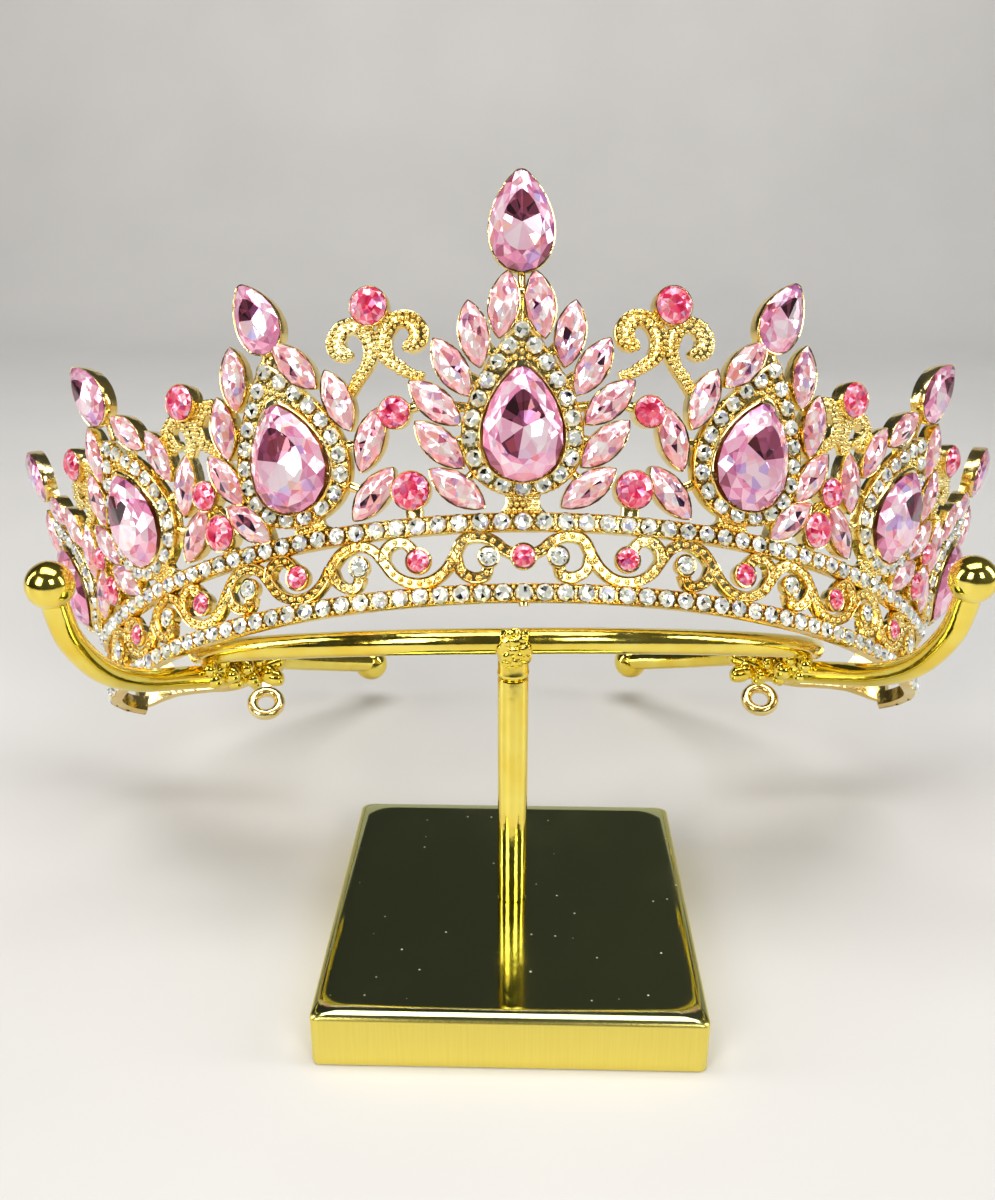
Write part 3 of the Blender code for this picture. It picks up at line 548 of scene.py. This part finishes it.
ribbonSection = ((-1, castBack), (-1, 0.75), (-0.86, 0.9), (-0.7, 0.85), (-0.6, 0.5), (0.6, 0.5),
                 (0.7, 0.85), (0.86, 0.9), (1, 0.75), (1, castBack))
railSection = ((-1, castBack), (-1, 0.95), (-0.92, 1.1), (-0.84, 0.95), (-0.8, 0.45), (0.8, 0.45),
               (0.84, 0.95), (0.92, 1.1), (1, 0.95), (1, castBack))
domedSection = ((-1, castBack), (-1, 0.35), (-0.7, 0.6), (0.7, 0.6), (1, 0.35), (1, castBack))

casting = []
clearStones = []
coralStones = []
roseStones = []
paleStones = []

# four small clear stones that differ in the lie of their tints, and a larger one for the tinted rounds
smallStones = [cutStone(
    roundAt, (1.0, 1.0), 8, (0.0, 0.36),
    ((1.0, 0.0, 0.0, 0.2, 1.0), (0.66, 0.4, 0.5, 0.0, 1.0)),
    (2.0, 0.05, 0.12, 1.1, 1, 0.2), seed) for seed in range(4)]
roundStones = [cutStone(
    roundAt, (1.0, 1.0), 15, (0.0, 0.24),
    ((1.0, 0.0, 0.0, 0.15, 0.95), (0.84, 0.18, 0.5, 0.1, 1.0), (0.5, 0.34, 1.0, 0, 0)),
    (2.0, 0.0, 0.05, 0.7, 2, 0.0), seed + 20) for seed in range(3)]
smallRim = rimPart(1.01, 1.1, -0.25, 0.04)
tinyBead = beadPart(6, 3)
roundBead = beadPart(8, 4)


# round stones at flat places, each with its own radius
def addRounds(target, s, h, radius, t, shapes=smallStones):
    s, h = np.atleast_1d(s), np.atleast_1d(h)
    places, axes = wallAxes(s, h, t, np.arange(len(s)) * 37.0 + 10 * h)
    kind = (np.arange(len(s)) * 7 + int(abs(s[0]) + h[0])) % len(shapes)
    for k, shape in enumerate(shapes):
        if (kind == k).any():
            target.append(copies(shape, places[kind == k], axes[kind == k], radius))
    if shapes is smallStones:
        casting.append(copies(smallRim, places, axes, radius))


def addBeads(s, h, radius, t, shape=tinyBead):
    places, axes = wallAxes(s, h, t)
    casting.append(copies(shape, places, axes, radius))


def rail(height):
    s = np.linspace(-rails["end"], rails["end"], 180)
    path = np.column_stack([s, np.full_like(s, height)])
    casting.append(ribbon(path, 2 * rails["half"], railSection, wallPoint))
    count = int(rails["end"] / rails["pitch"] - 0.6)
    at = np.arange(-count, count + 1) * rails["pitch"]
    addRounds(clearStones, at, np.full_like(at, height), rails["crystal"], 1.1)
    between = (at[:-1] + at[1:]) / 2
    for side in (-1, 1):
        addBeads(between, np.full_like(between, height + side * 0.92), 0.36, 0.85)


def scrollRibbon(points, start, side):
    flat = np.array([((start + x) * rails["pitch"] * side, rails["half"] + y) for x, y in points])
    path = smoothPath(flat, 5)
    casting.append(ribbon(path, scroll["width"], ribbonSection, wallPoint))
    at = evenSteps(path, scroll["beadSpacing"], 0.7)
    addBeads(at[:, 0], at[:, 1], scroll["beadRadius"], 0.55, roundBead)


# a round stone in its cup; the cup is (height, thickness, sides)
def seatedRound(target, s, h, radius, cup, share, t):
    places, axes = wallAxes(s, h, 0.0)
    casting.append(copies(cupPart(roundAt, (radius, radius), *cup), places, axes))
    addRounds(target, [s], [h], radius * share, t, roundStones)


def bandStone(at, radius, target):
    height = rails["half"] + scroll["stoneHeight"]
    seatedRound(target, at * rails["pitch"], height, radius, (1.25, 0.28, 20), 0.98, 1.25)


def band():
    rail(0.0)
    rail(rails["rise"])
    bandStone(0.0, scroll["pinkRadius"], coralStones)
    bar((0.0, -1.0), (0.0, -1.95), 1.6)
    for side in (1, -1):
        scrollRibbon(scroll["firstWave"], 0.0, side)
        scrollRibbon(scroll["firstHook"], 0.0, side)
        bandStone(side * scroll["firstClear"], scroll["clearRadius"], clearStones)
        for k in range(scroll["waves"] + 1):
            start = scroll["firstPink"] + k * scroll["period"]
            last = k == scroll["waves"]
            scrollRibbon(scroll["main"][:6] if last else scroll["main"], start, side)
            scrollRibbon(scroll["topHook"], start, side)
            bandStone(side * start, scroll["pinkRadius"], coralStones)
            if not last:
                scrollRibbon(scroll["lowHook"], start, side)
                bandStone(side * (start + scroll["clearAfterPink"]), scroll["clearRadius"], clearStones)


# crest

crest = {
    "pivot": 12.0, "pearHalf": (6.3, 9.0), "pearMiddle": 26.4, "haloHalf": (9.55, 13.85), "haloMiddle": 29.0,
    "ridgeHalf": (8.05, 12.25), "ridgeMiddle": 28.75, "haloCrystals": 20, "haloCrystal": 1.4,
    "navetteHalf": (2.42, 5.2),
    "topCentre": ((5.1, 7.9), (0.0, 57.6), 0.0), "topSide": ((3.7, 5.9), (1.9, 50.0), 15.0),
}
# each unit's place, then what its own top stone and its own halo add to it
unitKeys = ("arc", "lean", "rise", "topShift", "topSize", "topLean", "haloShift", "haloLean", "haloWide")
units = [dict(zip(unitKeys, row)) for row in (
    (0.0, 0.0, 0.0, (0.0, 0.0), 1.0, 0.0, 0.0, 0.0, 1.0),
    (35.2, 2.5, -1.2, (-2.4, -0.6), 1.05, 0.0, -1.8, 4.5, 1.07),
    (67.6, 3.5, -1.2, (0.0, 1.3), 1.14, 6.0, -2.0, 9.0, 1.0),
    (99.4, 3.5, -1.2, (0.0, 3.2), 1.16, 6.0, -1.0, 6.0, 1.0))]
# navettes in a unit's own axes: across, up and lean in degrees
navettesCentre = ((2.8, 44.8, -9), (7.4, 40.4, 8), (10.9, 35.5, 29), (13.5, 30.2, 46), (12.8, 23.7, 43),
                  (10.1, 16.7, 53))
navettesSide = ((-5.5, 40.2, 35), (-11.5, 33.2, 14), (-15.3, 26.1, -25), (-14.0, 17.6, -47),
                (5.9, 41.2, -9), (9.9, 34.2, -4), (11.5, 26.0, 24), (8.7, 17.8, 42))


# pear stones: bright small facets round the edge and a star with dark facets towards the tip, painted
# highlights and painted shade
def pearCut(half, girdle, table, seed):
    rise = table - girdle
    return cutStone(pearAt, half, 16, (-0.1 * half[1], table + 0.35), (
        (1.0, girdle, 0.0, 0.12, 0.6), (0.86, girdle + 0.45 * rise, 0.5, 0.2, 0.85),
        (0.7, girdle + 0.8 * rise, 1.0, 0.25, 0.75), (0.6, table, 1.5, 0, 0)),
        (0.3, 0.09, 0.35, 0.95, 2, 0.05), seed)


# navettes: long facets that meet at a star in the middle, a few of them painted dark as shade, the rest
# painted lighter
def navetteCut(seed):
    return cutStone(navetteAt, crest["navetteHalf"], 10, (0.0, 2.75), (
        (1.0, 1.55, 0.0, 0.3, 0.8), (0.8, 2.1, 0.5, 0.3, 0.9), (0.55, 2.5, 1.0, 0, 0)),
        (2.0, 0.08, 0.1, 1.15, 1, 0.18), seed)


# from a unit's own flat axes to the wall's arc and height
def unitPoint(unit, x, h):
    a = math.radians(unit["lean"])
    up = h + unit["rise"] - crest["pivot"]
    height = crest["pivot"] + up * math.cos(a) - x * math.sin(a)
    return unit["arc"] + (x * math.cos(a) + up * math.sin(a)) / girth(height), height


def unitToWall(unit, side):
    def toWall(x, h, t):
        s, height = unitPoint(unit, x, h)
        return wallPoint(side * s, height, t)
    return toWall


# the drop shaped plate of a unit: back, outer wall and rim, channel for the crystals, inner rim, floor
def haloPlate(unit, side, wide):
    turn = np.arange(84) / 84
    outer = dropAt(turn, crest["haloHalf"]) + (0, crest["haloMiddle"])
    inner = pearAt(turn, (crest["pearHalf"][0] + 0.2, crest["pearHalf"][1] + 0.2)) + (0, crest["pearMiddle"])
    middle = np.array([0, crest["pearMiddle"] - 2.0])
    rows = []
    for mix, t in ((0.03, castBack), (1.0, castBack), (1.0, 1.15), (0.93, 1.35), (0.86, 1.15), (0.84, 0.65),
                   (0.16, 0.65), (0.12, 1.7), (0.03, 1.95), (-0.03, 1.7), (-0.05, -0.5), (-0.97, -0.5)):
        if mix >= 0 and t > castBack:
            flat = inner + (outer - inner) * mix
        elif mix > 0:
            flat = middle + (outer - middle) * mix
        else:
            flat = middle + (inner - middle) * (1 + mix)
        rows.append(unitToWall(unit, side)(flat[:, 0] * wide, flat[:, 1], np.full(len(turn), t)))
    casting.append(tubePart(np.stack(rows)))


# crystals along the channel, with two beads between each pair and four grains at the rims
def haloCrystals(unit, side, wide):
    turn = np.linspace(0, 1, 721)
    line = dropAt(turn, crest["ridgeHalf"]) + (0, crest["ridgeMiddle"])
    run = np.concatenate([[0], np.cumsum(np.linalg.norm(np.diff(line, axis=0), axis=1))])
    count = crest["haloCrystals"]
    for phase, spread in ((0.0, 0.0), (0.5, 1.0), (0.5, -1.0), (0.38, 1.35), (0.62, 1.35), (0.38, -1.35),
                          (0.62, -1.35)):
        at = (np.arange(count) + phase) / count * run[-1]
        x = np.interp(at, run, line[:, 0])
        h = np.interp(at, run, line[:, 1])
        away = np.column_stack([x, h - crest["haloMiddle"] + 1.5])
        away /= np.linalg.norm(away, axis=1, keepdims=True)
        s, height = unitPoint(unit, (x + away[:, 0] * spread) * wide, h + away[:, 1] * spread)
        if spread == 0:
            addRounds(clearStones, side * s, height, crest["haloCrystal"], 1.2)
        else:
            addBeads(side * s, height, 0.42 if abs(spread) < 1.2 else 0.28, 0.9)


# grains on the channel's floor between the top crystals and the pear's tip
def tipBeads(unit, side):
    x = np.array([0.0, 0.0, 0.0, 0.95, -0.95, 1.15, -1.15, 2.0, -2.0])
    h = np.array([38.9, 37.7, 36.5, 38.1, 38.1, 36.9, 36.9, 36.5, 36.5])
    s, height = unitPoint(unit, x, h)
    addBeads(side * s, height, 0.55, 0.6)


def unitFrame(unit, side, x, h, lean):
    s, height = unitPoint(unit, np.array([x]), np.array([h]))
    return wallAxes(side * s, height, 0.0, side * (lean + unit["lean"]))


def strut(unit, side, first, second, width):
    path = np.linspace(first, second, 4)
    section = ((-1, -0.8), (-1, 0.3), (-0.5, 0.6), (0.5, 0.6), (1, 0.3), (1, -0.8))
    casting.append(ribbon(path, width, section, unitToWall(unit, side)))


# a unit's halo on its own shift and lean, its pear, and the beaded neck that stands on the rail
def crestHalo(unit, side):
    wide = unit["haloWide"]
    unit = dict(unit, arc=unit["arc"] + unit["haloShift"], lean=unit["lean"] + unit["haloLean"])
    pear = (crest["pearHalf"][0] * wide, crest["pearHalf"][1])
    haloPlate(unit, side, wide)
    haloCrystals(unit, side, wide)
    tipBeads(unit, side)
    places, axes = unitFrame(unit, side, 0.0, crest["pearMiddle"], 0.0)
    roseStones.append(copies(pearCut(pear, 2.2, 4.4, unit["arc"] + side), places, axes))
    low = rails["rise"] + rails["half"] - 0.3 - unit["rise"]
    neck = np.column_stack([np.zeros(9), np.linspace(low, 16.8, 9)])
    width = 5.2 + 3.0 * np.linspace(-1, 1, 9) ** 2
    casting.append(ribbon(neck, width, domedSection, unitToWall(unit, side)))
    for k, rise in enumerate((0.7, 1.65, 2.6, 3.5)):
        row = np.linspace(-2.3, 2.3, 6 - k % 2)
        s, h = unitPoint(unit, row * (0.86 if k in (1, 2) else 1.0), np.full(len(row), low + rise))
        addBeads(side * s, h, 0.52, 0.5)


def crestUnit(unit, side):
    crestHalo(unit, side)
    central = unit["arc"] == 0
    navettes = navettesSide
    if central:
        navettes = [(x * m, h, lean * m) for x, h, lean in navettesCentre for m in (1, -1)]
    half = crest["navetteHalf"]
    cup = cupPart(navetteAt, half, 1.62, 0.16, 24)
    rim = dropAt(np.arange(96) / 96, (crest["haloHalf"][0] - 0.3, crest["haloHalf"][1] - 0.3))
    rim = rim + (0, crest["haloMiddle"])
    for x, h, lean in navettes:
        places, axes = unitFrame(unit, side, x, h, lean)
        casting.append(copies(cup, places, axes))
        paleStones.append(copies(navetteCut(x + h + unit["arc"]), places, axes))
        near = rim[np.argmin(np.linalg.norm(rim - (x, h), axis=1))]
        inner = near * 0.78 + np.array([0, crest["haloMiddle"]]) * 0.22
        strut(unit, side, np.array([x, h]) * 0.7 + near * 0.3, inner, 1.5)
    half, (x, h), lean = crest["topCentre"] if central else crest["topSide"]
    half = (half[0] * unit["topSize"], half[1] * unit["topSize"])
    x, h, lean = x + unit["topShift"][0], h + unit["topShift"][1], lean + unit["topLean"]
    places, axes = unitFrame(unit, side, x, h, lean)
    casting.append(copies(cupPart(pearAt, half, 1.75, 0.2, 40), places, axes))
    grow = half[0] / crest["pearHalf"][0]
    cut = pearCut(half, 1.75, 1.9 + 1.5 * grow, unit["arc"] + 5 * side)
    roseStones.append(copies(cut, places, axes))
    foot = (x - math.sin(math.radians(lean)) * half[1] * 0.8, h - half[1] * 0.8)
    haloTip = (0.0, crest["haloMiddle"] + crest["haloHalf"][1] - 1.2)
    strut(unit, side, foot, haloTip, 1.2 if central else 2.4)
    if central:
        places, _ = unitFrame(unit, side, 0.0, 46.8, 0.0)
        casting.append(lump(places[0], (1.1, 1.1, 1.1), 0.05, 1.0, 14, 9))


# scroll hearts and the loose round stones

hearts = {
    "places": ((19.6, 37.9, 1.0), (51.0, 31.7, 0.92), (81.4, 34.0, 0.9)), "roundRise": 8.3,
    "curl": ((1.6, 0.0), (1.0, 2.4), (1.6, 4.4), (3.2, 5.8), (5.3, 5.8), (6.7, 4.3), (6.6, 2.6), (5.6, 1.7),
             (4.5, 2.3)),
    "outerLeg": ((5.7, -5.2), (3.8, -2.7)), "innerLeg": ((7.0, -3.3), (5.0, -2.7), (3.2, -1.4)),
    "widths": ((0.0, 1.3), (0.22, 2.0), (0.4, 2.5), (0.62, 2.8), (0.86, 2.7), (0.95, 2.2), (1.0, 0.8)),
    "beadRadius": 0.5, "beadSpacing": 0.98, "rows": (-0.64, 0.0, 0.64),
}
# loose round stones: arc, height and radius, the higher one of each pair first
rounds = ((17.8, 29.3, 2.5), (16.4, 16.9, 3.0), (50.7, 22.9, 2.5), (49.3, 16.1, 3.0), (82.5, 22.8, 2.2),
          (81.8, 16.1, 2.7))


def roundStone(s, h, radius):
    seatedRound(coralStones, s, h, radius, (1.95, 0.14, 28), 1.0, 2.0)


def bar(first, second, width):
    casting.append(ribbon(np.linspace(first, second, 5), width, domedSection, wallPoint))


# beads of uneven size, pressed side by side over a ribbon
def pave(path, width, seed):
    across = pathAcross(path)
    for row in hearts["rows"]:
        at = evenSteps(path + across * row * width[:, None] / 2, hearts["beadSpacing"], 0.3)
        k = np.arange(len(at))
        at = at + 0.12 * (np.column_stack([lot(k, seed + row), lot(k, seed + row + 3)]) - 0.5)
        radius = hearts["beadRadius"] * (0.8 + 0.45 * lot(k, seed + 5 * row))
        addBeads(at[:, 0], at[:, 1], radius, 0.42)


# a scroll heart: two curls on legs, their beads, two bars up the middle and a round stone on top
def heart(arc, waist, size, side):
    for half in (1, -1):
        flat = np.array(hearts["outerLeg" if half > 0 else "innerLeg"] + hearts["curl"]) * size
        h = waist + flat[:, 1]
        path = smoothPath(np.column_stack([side * (arc + half * flat[:, 0] / girth(h)), h]), 7)
        run = np.linspace(0, 1, len(path))
        width = np.interp(run, *np.transpose(hearts["widths"])) * size
        casting.append(ribbon(path, width, domedSection, wallPoint))
        pave(path, width, arc + half)
    top = waist + hearts["roundRise"] * size
    for half in (1, -1):
        bar((side * (arc + half * 1.7), waist + 4.6), (side * (arc + half * 1.3), top - 2.0), 1.7)
    roundStone(side * (arc + 0.3), top, 3.0)


def looseRounds(side):
    for s, h, radius in rounds:
        roundStone(side * s, h, radius)
    for k in (1, 3, 5):
        s, h, radius = rounds[k]
        high, top, small = rounds[k - 1]
        bar((side * s, h - radius + 0.3), (side * s, rails["rise"] + rails["half"] - 0.4), 2.6)
        if k > 1:
            bar((side * s, h + radius - 0.3), (side * high, top - small + 0.3), 1.6)
    for s, h in ((14.6, 30.2), (21.8, 28.4)):
        bar((side * rounds[0][0], rounds[0][1]), (side * s, h), 1.5)


# the curled ends: a cast leaf between two edges, with a ribbon loop and a small ball at its tip

ends = {
    "low": ((104.0, -1.4), (107.0, 0.2), (109.5, 1.8), (112.5, 3.0), (117.5, 3.8), (123.5, 4.6),
            (128.5, 7.6), (131.5, 10.6)),
    "high": ((104.0, 12.6), (107.5, 12.2), (110.5, 9.0), (114.0, 6.6), (120.0, 6.6), (124.8, 8.0),
             (128.5, 11.4), (131.3, 11.0)),
    "loop": (129.4, 1.3), "loopRadius": 2.7, "loopWire": 1.1,
}


def leafEnd(side):
    low, high = smoothPath(ends["low"], 6), smoothPath(ends["high"], 6)
    across = np.linspace(0.02, 0.98, 11)
    flat = low[:, None, :] + (high - low)[:, None, :] * across[None, :, None]
    knobs = 0.45 * np.abs(np.sin(flat[..., 0] * 0.9)) * np.sin(np.pi * across)[None, :] ** 0.5
    front = wallPoint(side * flat[..., 0], flat[..., 1], 0.45 + knobs)
    back = wallPoint(side * flat[:, ::-1, 0], flat[:, ::-1, 1], np.full(flat.shape[:2], -0.85))
    casting.append(tubePart(np.concatenate([front, back], 1)))
    a = 2 * np.pi * np.arange(40) / 40
    loop = wallPoint(side * (ends["loop"][0] + ends["loopRadius"] * np.cos(a)),
                     ends["loop"][1] + ends["loopRadius"] * np.sin(a), np.zeros(40))
    casting.append(wire(loop, ends["loopWire"], 12, closedRun=True))
    bar((side * ends["loop"][0], 4.6), (side * 128.0, 9.2), 1.7)
    tip = wallPoint(side * 131.0, 10.4, 0.0)
    casting.append(lump(tip, (1.5, 1.5, 1.5), sides=16, rings=10))


# the frame is made as two pieces, the band below and the crest above
def tiara():
    band()
    for side in (1, -1):
        leafEnd(side)
    bandCount = len(casting)
    for unit in units:
        for side in ((1,) if unit["arc"] == 0 else (1, -1)):
            crestUnit(unit, side)
    for side in (1, -1):
        for arc, waist, size in hearts["places"]:
            heart(arc, waist, size, side)
        looseRounds(side)
    bandGold = makePiece("castBand", casting[:bandCount], castGold, 50)
    crestGold = makePiece("castCrest", casting[bandCount:], castGold, 50)
    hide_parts("tiara_frame")
    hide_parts("tiara_frame")
    clear = makePiece("clearStones", clearStones, clearGlass)
    pale = makePiece("navettes", paleStones, paleGlass)
    names = list(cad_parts)
    rose = makePiece("pearStones", roseStones, roseGlass)
    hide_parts(*[n for n in names if "pear" in n])
    coral = makePiece("coralStones", coralStones, coralGlass)
    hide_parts(*[n for n in names if "stone_" in n])
    for obj, name in ((bandGold, "tiara_gold"), (crestGold, "tiara_gold"), (clear, "tiara_gold"),
                      (pale, "pink_crystal"), (rose, "pink_crystal"), (coral, "coral_crystal")):
        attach(obj, "root")


# the stand

stand = {
    "plateHalf": 29.3, "plateThick": 9.5, "rollDeep": 2.8, "rollHigh": 1.4, "plateCorner": 1.3,
    "postRadius": 2.4, "ringHeight": 55.0, "ringTilt": 25.5, "tube": 2.05, "ringBall": 3.9, "armBall": 3.6,
    "ringHalf": ((0.0, 0.0), (16.0, 1.8), (32.0, 8.0), (46.0, 18.0), (55.5, 32.0), (58.0, 46.0),
                 (55.5, 62.0), (48.5, 78.0), (40.0, 90.0), (31.5, 99.0)),
    "ringLift": (1.2, 1.15, 0.95, 0.6, 0.3, 0.1, -0.2, -0.6, -1.0, -1.2), "joint": 50.4,
    "arm": ((46.5, 33.0, 35.3), (51.5, 27.5, 37.6), (57.0, 21.0, 40.3), (62.0, 13.5, 43.6),
            (65.5, 6.0, 49.0), (67.5, 0.0, 57.0), (68.0, -2.6, 64.5)),
}


# a square inset from the plate's edge; its corners grow rounder inwards: an arc, then a straight
def plateRing(inset):
    inner = stand["plateHalf"] - inset
    radius = min(stand["plateCorner"] + 1.1 * inset, inner - 0.05)
    points = []
    for quarter in range(4):
        a = np.pi / 2 * (quarter + np.linspace(0, 1, 9))
        corner = np.array([(1, 1), (-1, 1), (-1, -1), (1, -1)][quarter]) * (inner - radius)
        points.append(corner + radius * np.column_stack([np.cos(a), np.sin(a)]))
    return np.concatenate(points)


# its upper edge rolls over as a quarter of an ellipse
def plate():
    thick, deep, high = stand["plateThick"], stand["rollDeep"], stand["rollHigh"]
    rows = [plateRing(28.0), plateRing(0.25), plateRing(0.0)]
    heights = [0.0, 0.0, 0.25]
    for a in np.linspace(0, np.pi / 2, 12):
        rows.append(plateRing(deep * (1 - math.cos(a))))
        heights.append(thick - high + high * math.sin(a))
    for inset in (deep + 0.3, 28.0):
        rows.append(plateRing(inset))
        heights.append(thick)
    points = np.stack([atHeight(ring, z) for ring, z in zip(rows, heights)])
    obj = makePiece("standPlate", [tubePart(points)], brass, 32)
    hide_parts("base_plate")
    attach(obj, "root")


# rings about the upright axis, from rows of radius and height
def turnedPart(rows, sides=40):
    a = 2 * np.pi * np.arange(sides) / sides
    ring = np.column_stack([np.cos(a), np.sin(a)])
    return tubePart(np.stack([atHeight(r * ring, z) for r, z in rows]))


def post():
    r, top = stand["postRadius"], stand["joint"] - 0.08
    rows = ((r * 0.6, 9.45), (r - 0.25, 9.5), (r, 9.8), (r, top - 0.35), (r - 0.1, top - 0.1),
            (r - 0.4, top))
    obj = makePiece("standPost", [turnedPart(rows)], standGold, 32)
    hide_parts("post")
    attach(obj, "root")


def turnedPath(points, steps):
    p = smoothPath(points, steps)
    return turnAbout(p[:, 0], p[:, 1], p[:, 2])


# the end of an arm on the ring: solder lumps, a crust of small nuggets and two cast leaf tips
def armJoint(side):
    parts = []
    solder = ((52.6, 26.6, 39.6, 2.6), (49.6, 30.4, 37.4, 2.3), (46.6, 32.9, 35.5, 2.1))
    for k, (x, y, z, size) in enumerate(solder):
        parts.append(lump(turnAbout(side * x, y, z), (size, size, size * 0.8), 0.07, k + side))
    start, run = np.array([45.5, 33.0, 36.3]), np.array([9.0, -8.6, 4.4])
    for k in range(22):
        place = start + run * (k + 0.5) / 22
        a = 2.4 * k
        place = (place + 2.3 * math.cos(a) * np.array([-0.6, -0.62, 0])
                 + 2.4 * math.sin(a) * np.array([-0.2, 0.2, 1.0]))
        size = 1.15 + 0.6 * float(lot(k, 3 + side))
        place = turnAbout(side * place[0], place[1], place[2])
        parts.append(lump(place, (size, size, size), 0.06, k, 16, 10))
    for bend, low in ((0.4, 1.0), (-1.8, -1.4)):
        path = np.array([(48.0, 31.4, 36.6), (45.4, 32.4, 36.8 + low * 0.5), (43.0, 32.8 + bend, 36.9 + low),
                         (41.4, 32.8 + bend, 37.0 + low)])
        path[:, 0] *= side
        path = turnedPath(path, 5)
        radius = np.interp(np.linspace(0, 1, len(path)), (0, 0.4, 0.85, 1), (1.3, 1.9, 1.5, 0.7))
        parts.append(wire(path, radius, 14))
    return parts


# the solder blob where the ring meets the post: a rough mass with pits and nuggets on its front
def weld():
    parts = [lump((0.15, -1.3, 55.6), (2.9, 1.9, 3.3), 0.13, 1.4, 48, 32)]
    for k in range(13):
        a, r = 2.4 * k + 0.6, 0.62 * math.sqrt(k)
        size = 0.55 + 0.6 * float(lot(k, 8))
        parts.append(lump((0.15 + r * math.cos(a), -2.9 + 0.28 * r, 55.9 + 1.2 * r * math.sin(a)),
                          (size, size * 0.8, size), 0.16, k, 18, 12))
    return parts


def holder():
    c, n = math.cos(math.radians(stand["ringTilt"])), math.sin(math.radians(stand["ringTilt"]))
    half = [(x, v * c, stand["ringHeight"] + lift - v * n)
            for (x, v), lift in zip(stand["ringHalf"], stand["ringLift"])]
    ring = [(-x, y, z) for x, y, z in half[:0:-1]] + half
    parts = [wire(turnedPath(ring, 8), stand["tube"])]
    for side in (1, -1):
        x, y, z = half[-1]
        parts.append(lump(turnAbout(side * x, y + 1.5, z - 0.8), [stand["ringBall"]] * 3, 0.006, side))
        arm = [(side * x, y, z) for x, y, z in stand["arm"]]
        parts.append(wire(turnedPath(arm, 8), stand["tube"]))
        x, y, z = arm[-1]
        parts.append(lump(turnAbout(x, y - 0.6, z + 2.6), [stand["armBall"]] * 3, 0.008, 2 + side))
        parts += armJoint(side)
    r, low = stand["postRadius"], stand["joint"]
    parts.append(turnedPart(((r - 0.5, low), (r - 0.15, low + 0.05), (r + 0.1, low + 0.35),
                             (r + 0.1, low + 0.8), (r, low + 1.0), (r, 55.6))))
    parts += weld()
    obj = makePiece("standHolder", parts, standGold, 60)
    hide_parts("holder")
    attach(obj, "root")


# floor, light and camera

studio = {
    "camera": (1.73, -159.2, 126.5), "pitch": 21.75, "yaw": -1.5, "lens": 34.0,
    "floorColour": "dcdad7", "worldDark": "6f747a", "worldLight": "b4b6b2", "worldStrength": 0.2,
}


# a pale floor that turns up in a wide arc behind the object
def floorSweep():
    a = np.linspace(0, np.pi / 2, 16)
    y = np.concatenate([[-1500], 600 + 300 * np.sin(a), [900]])
    z = np.concatenate([[0], 300 - 300 * np.cos(a), [480]])
    x = np.linspace(-2200, 2200, 5)
    grid = np.stack(np.broadcast_arrays(x[None, :], y[:, None], z[:, None]), -1)
    i, j = np.meshgrid(np.arange(len(y) - 1), np.arange(len(x) - 1), indexing="ij")
    k = len(x)
    quads = np.stack([i * k + j, i * k + j + 1, (i + 1) * k + j + 1, (i + 1) * k + j], -1).reshape(-1, 4)
    made, tree, place = newMaterial("paleFloor", {"Roughness": 0.55})
    pale = linear(studio["floorColour"])
    low = tuple(c * 0.94 for c in pale[:3]) + (1.0,)
    plug(tree, {"Base Color": ramp(tree, noise(tree, 9.0, 3.0, place), ((0.3, low), (0.7, pale)))})
    floor = makePiece("studioFloor", [part(grid.reshape(-1, 3), None, quads)], made)


def areaLight(name, place, aim, size, power, colour="ffffff"):
    light = bpy.data.lights.new(name, "AREA")
    light.shape = "RECTANGLE"
    light.size, light.size_y = size
    light.energy = power
    light.color = linear(colour)[:3]
    obj = bpy.data.objects.new(name, light)
    bpy.context.scene.collection.objects.link(obj)
    obj.location = place
    obj.rotation_euler = (Vector(place) - Vector(aim)).to_track_quat("Z", "Y").to_euler()


def lighting():
    middle = (0, 0, 0.07)
    areaLight("frontLeftSoftbox", (-0.5, -0.7, 0.6), middle, (0.35, 0.5), 4.6, "fffaf2")
    areaLight("frontRightSoftbox", (0.45, -0.75, 0.65), middle, (0.3, 0.35), 2.9)
    areaLight("leftStrip", (-0.85, 0.0, 0.4), middle, (0.2, 0.7), 2.6)
    areaLight("rightStrip", (0.85, -0.05, 0.45), middle, (0.2, 0.6), 2.6)
    areaLight("topSoftbox", (0.0, 0.0, 1.0), middle, (0.9, 0.4), 6.4)
    world = bpy.data.worlds.new("studioWorld")
    world.use_nodes = True
    tree = world.node_tree
    place = addNode(tree, "TexCoord").outputs["Generated"]
    split = addNode(tree, "SeparateXYZ", links={"Vector": place})
    across = addNode(tree, "MapRange", values={"From Min": -1.0}, links={"Value": split.outputs["X"]})
    stops = ((0.2, studio["worldDark"]), (0.9, studio["worldLight"]))
    shade = ramp(tree, across.outputs["Result"], stops)
    back = tree.nodes["Background"]
    tree.links.new(shade, back.inputs["Color"])
    back.inputs["Strength"].default_value = studio["worldStrength"]
    bpy.context.scene.world = world


def camera():
    data = bpy.data.cameras.new("photoCamera")
    data.sensor_fit = "VERTICAL"
    data.sensor_height = 36.0
    data.lens = studio["lens"]
    data.clip_start = 0.005
    obj = bpy.data.objects.new("photoCamera", data)
    bpy.context.scene.collection.objects.link(obj)
    pitch, yaw = math.radians(studio["pitch"]), math.radians(studio["yaw"])
    obj.location = [c * mm for c in studio["camera"]]
    obj.rotation_euler = (math.pi / 2 - pitch, 0.0, -yaw)
    bpy.context.scene.camera = obj
    bpy.context.scene.view_settings.view_transform = "Standard"


tiara()
plate()
post()
holder()
print("object ready")
floorSweep()
lighting()
camera()
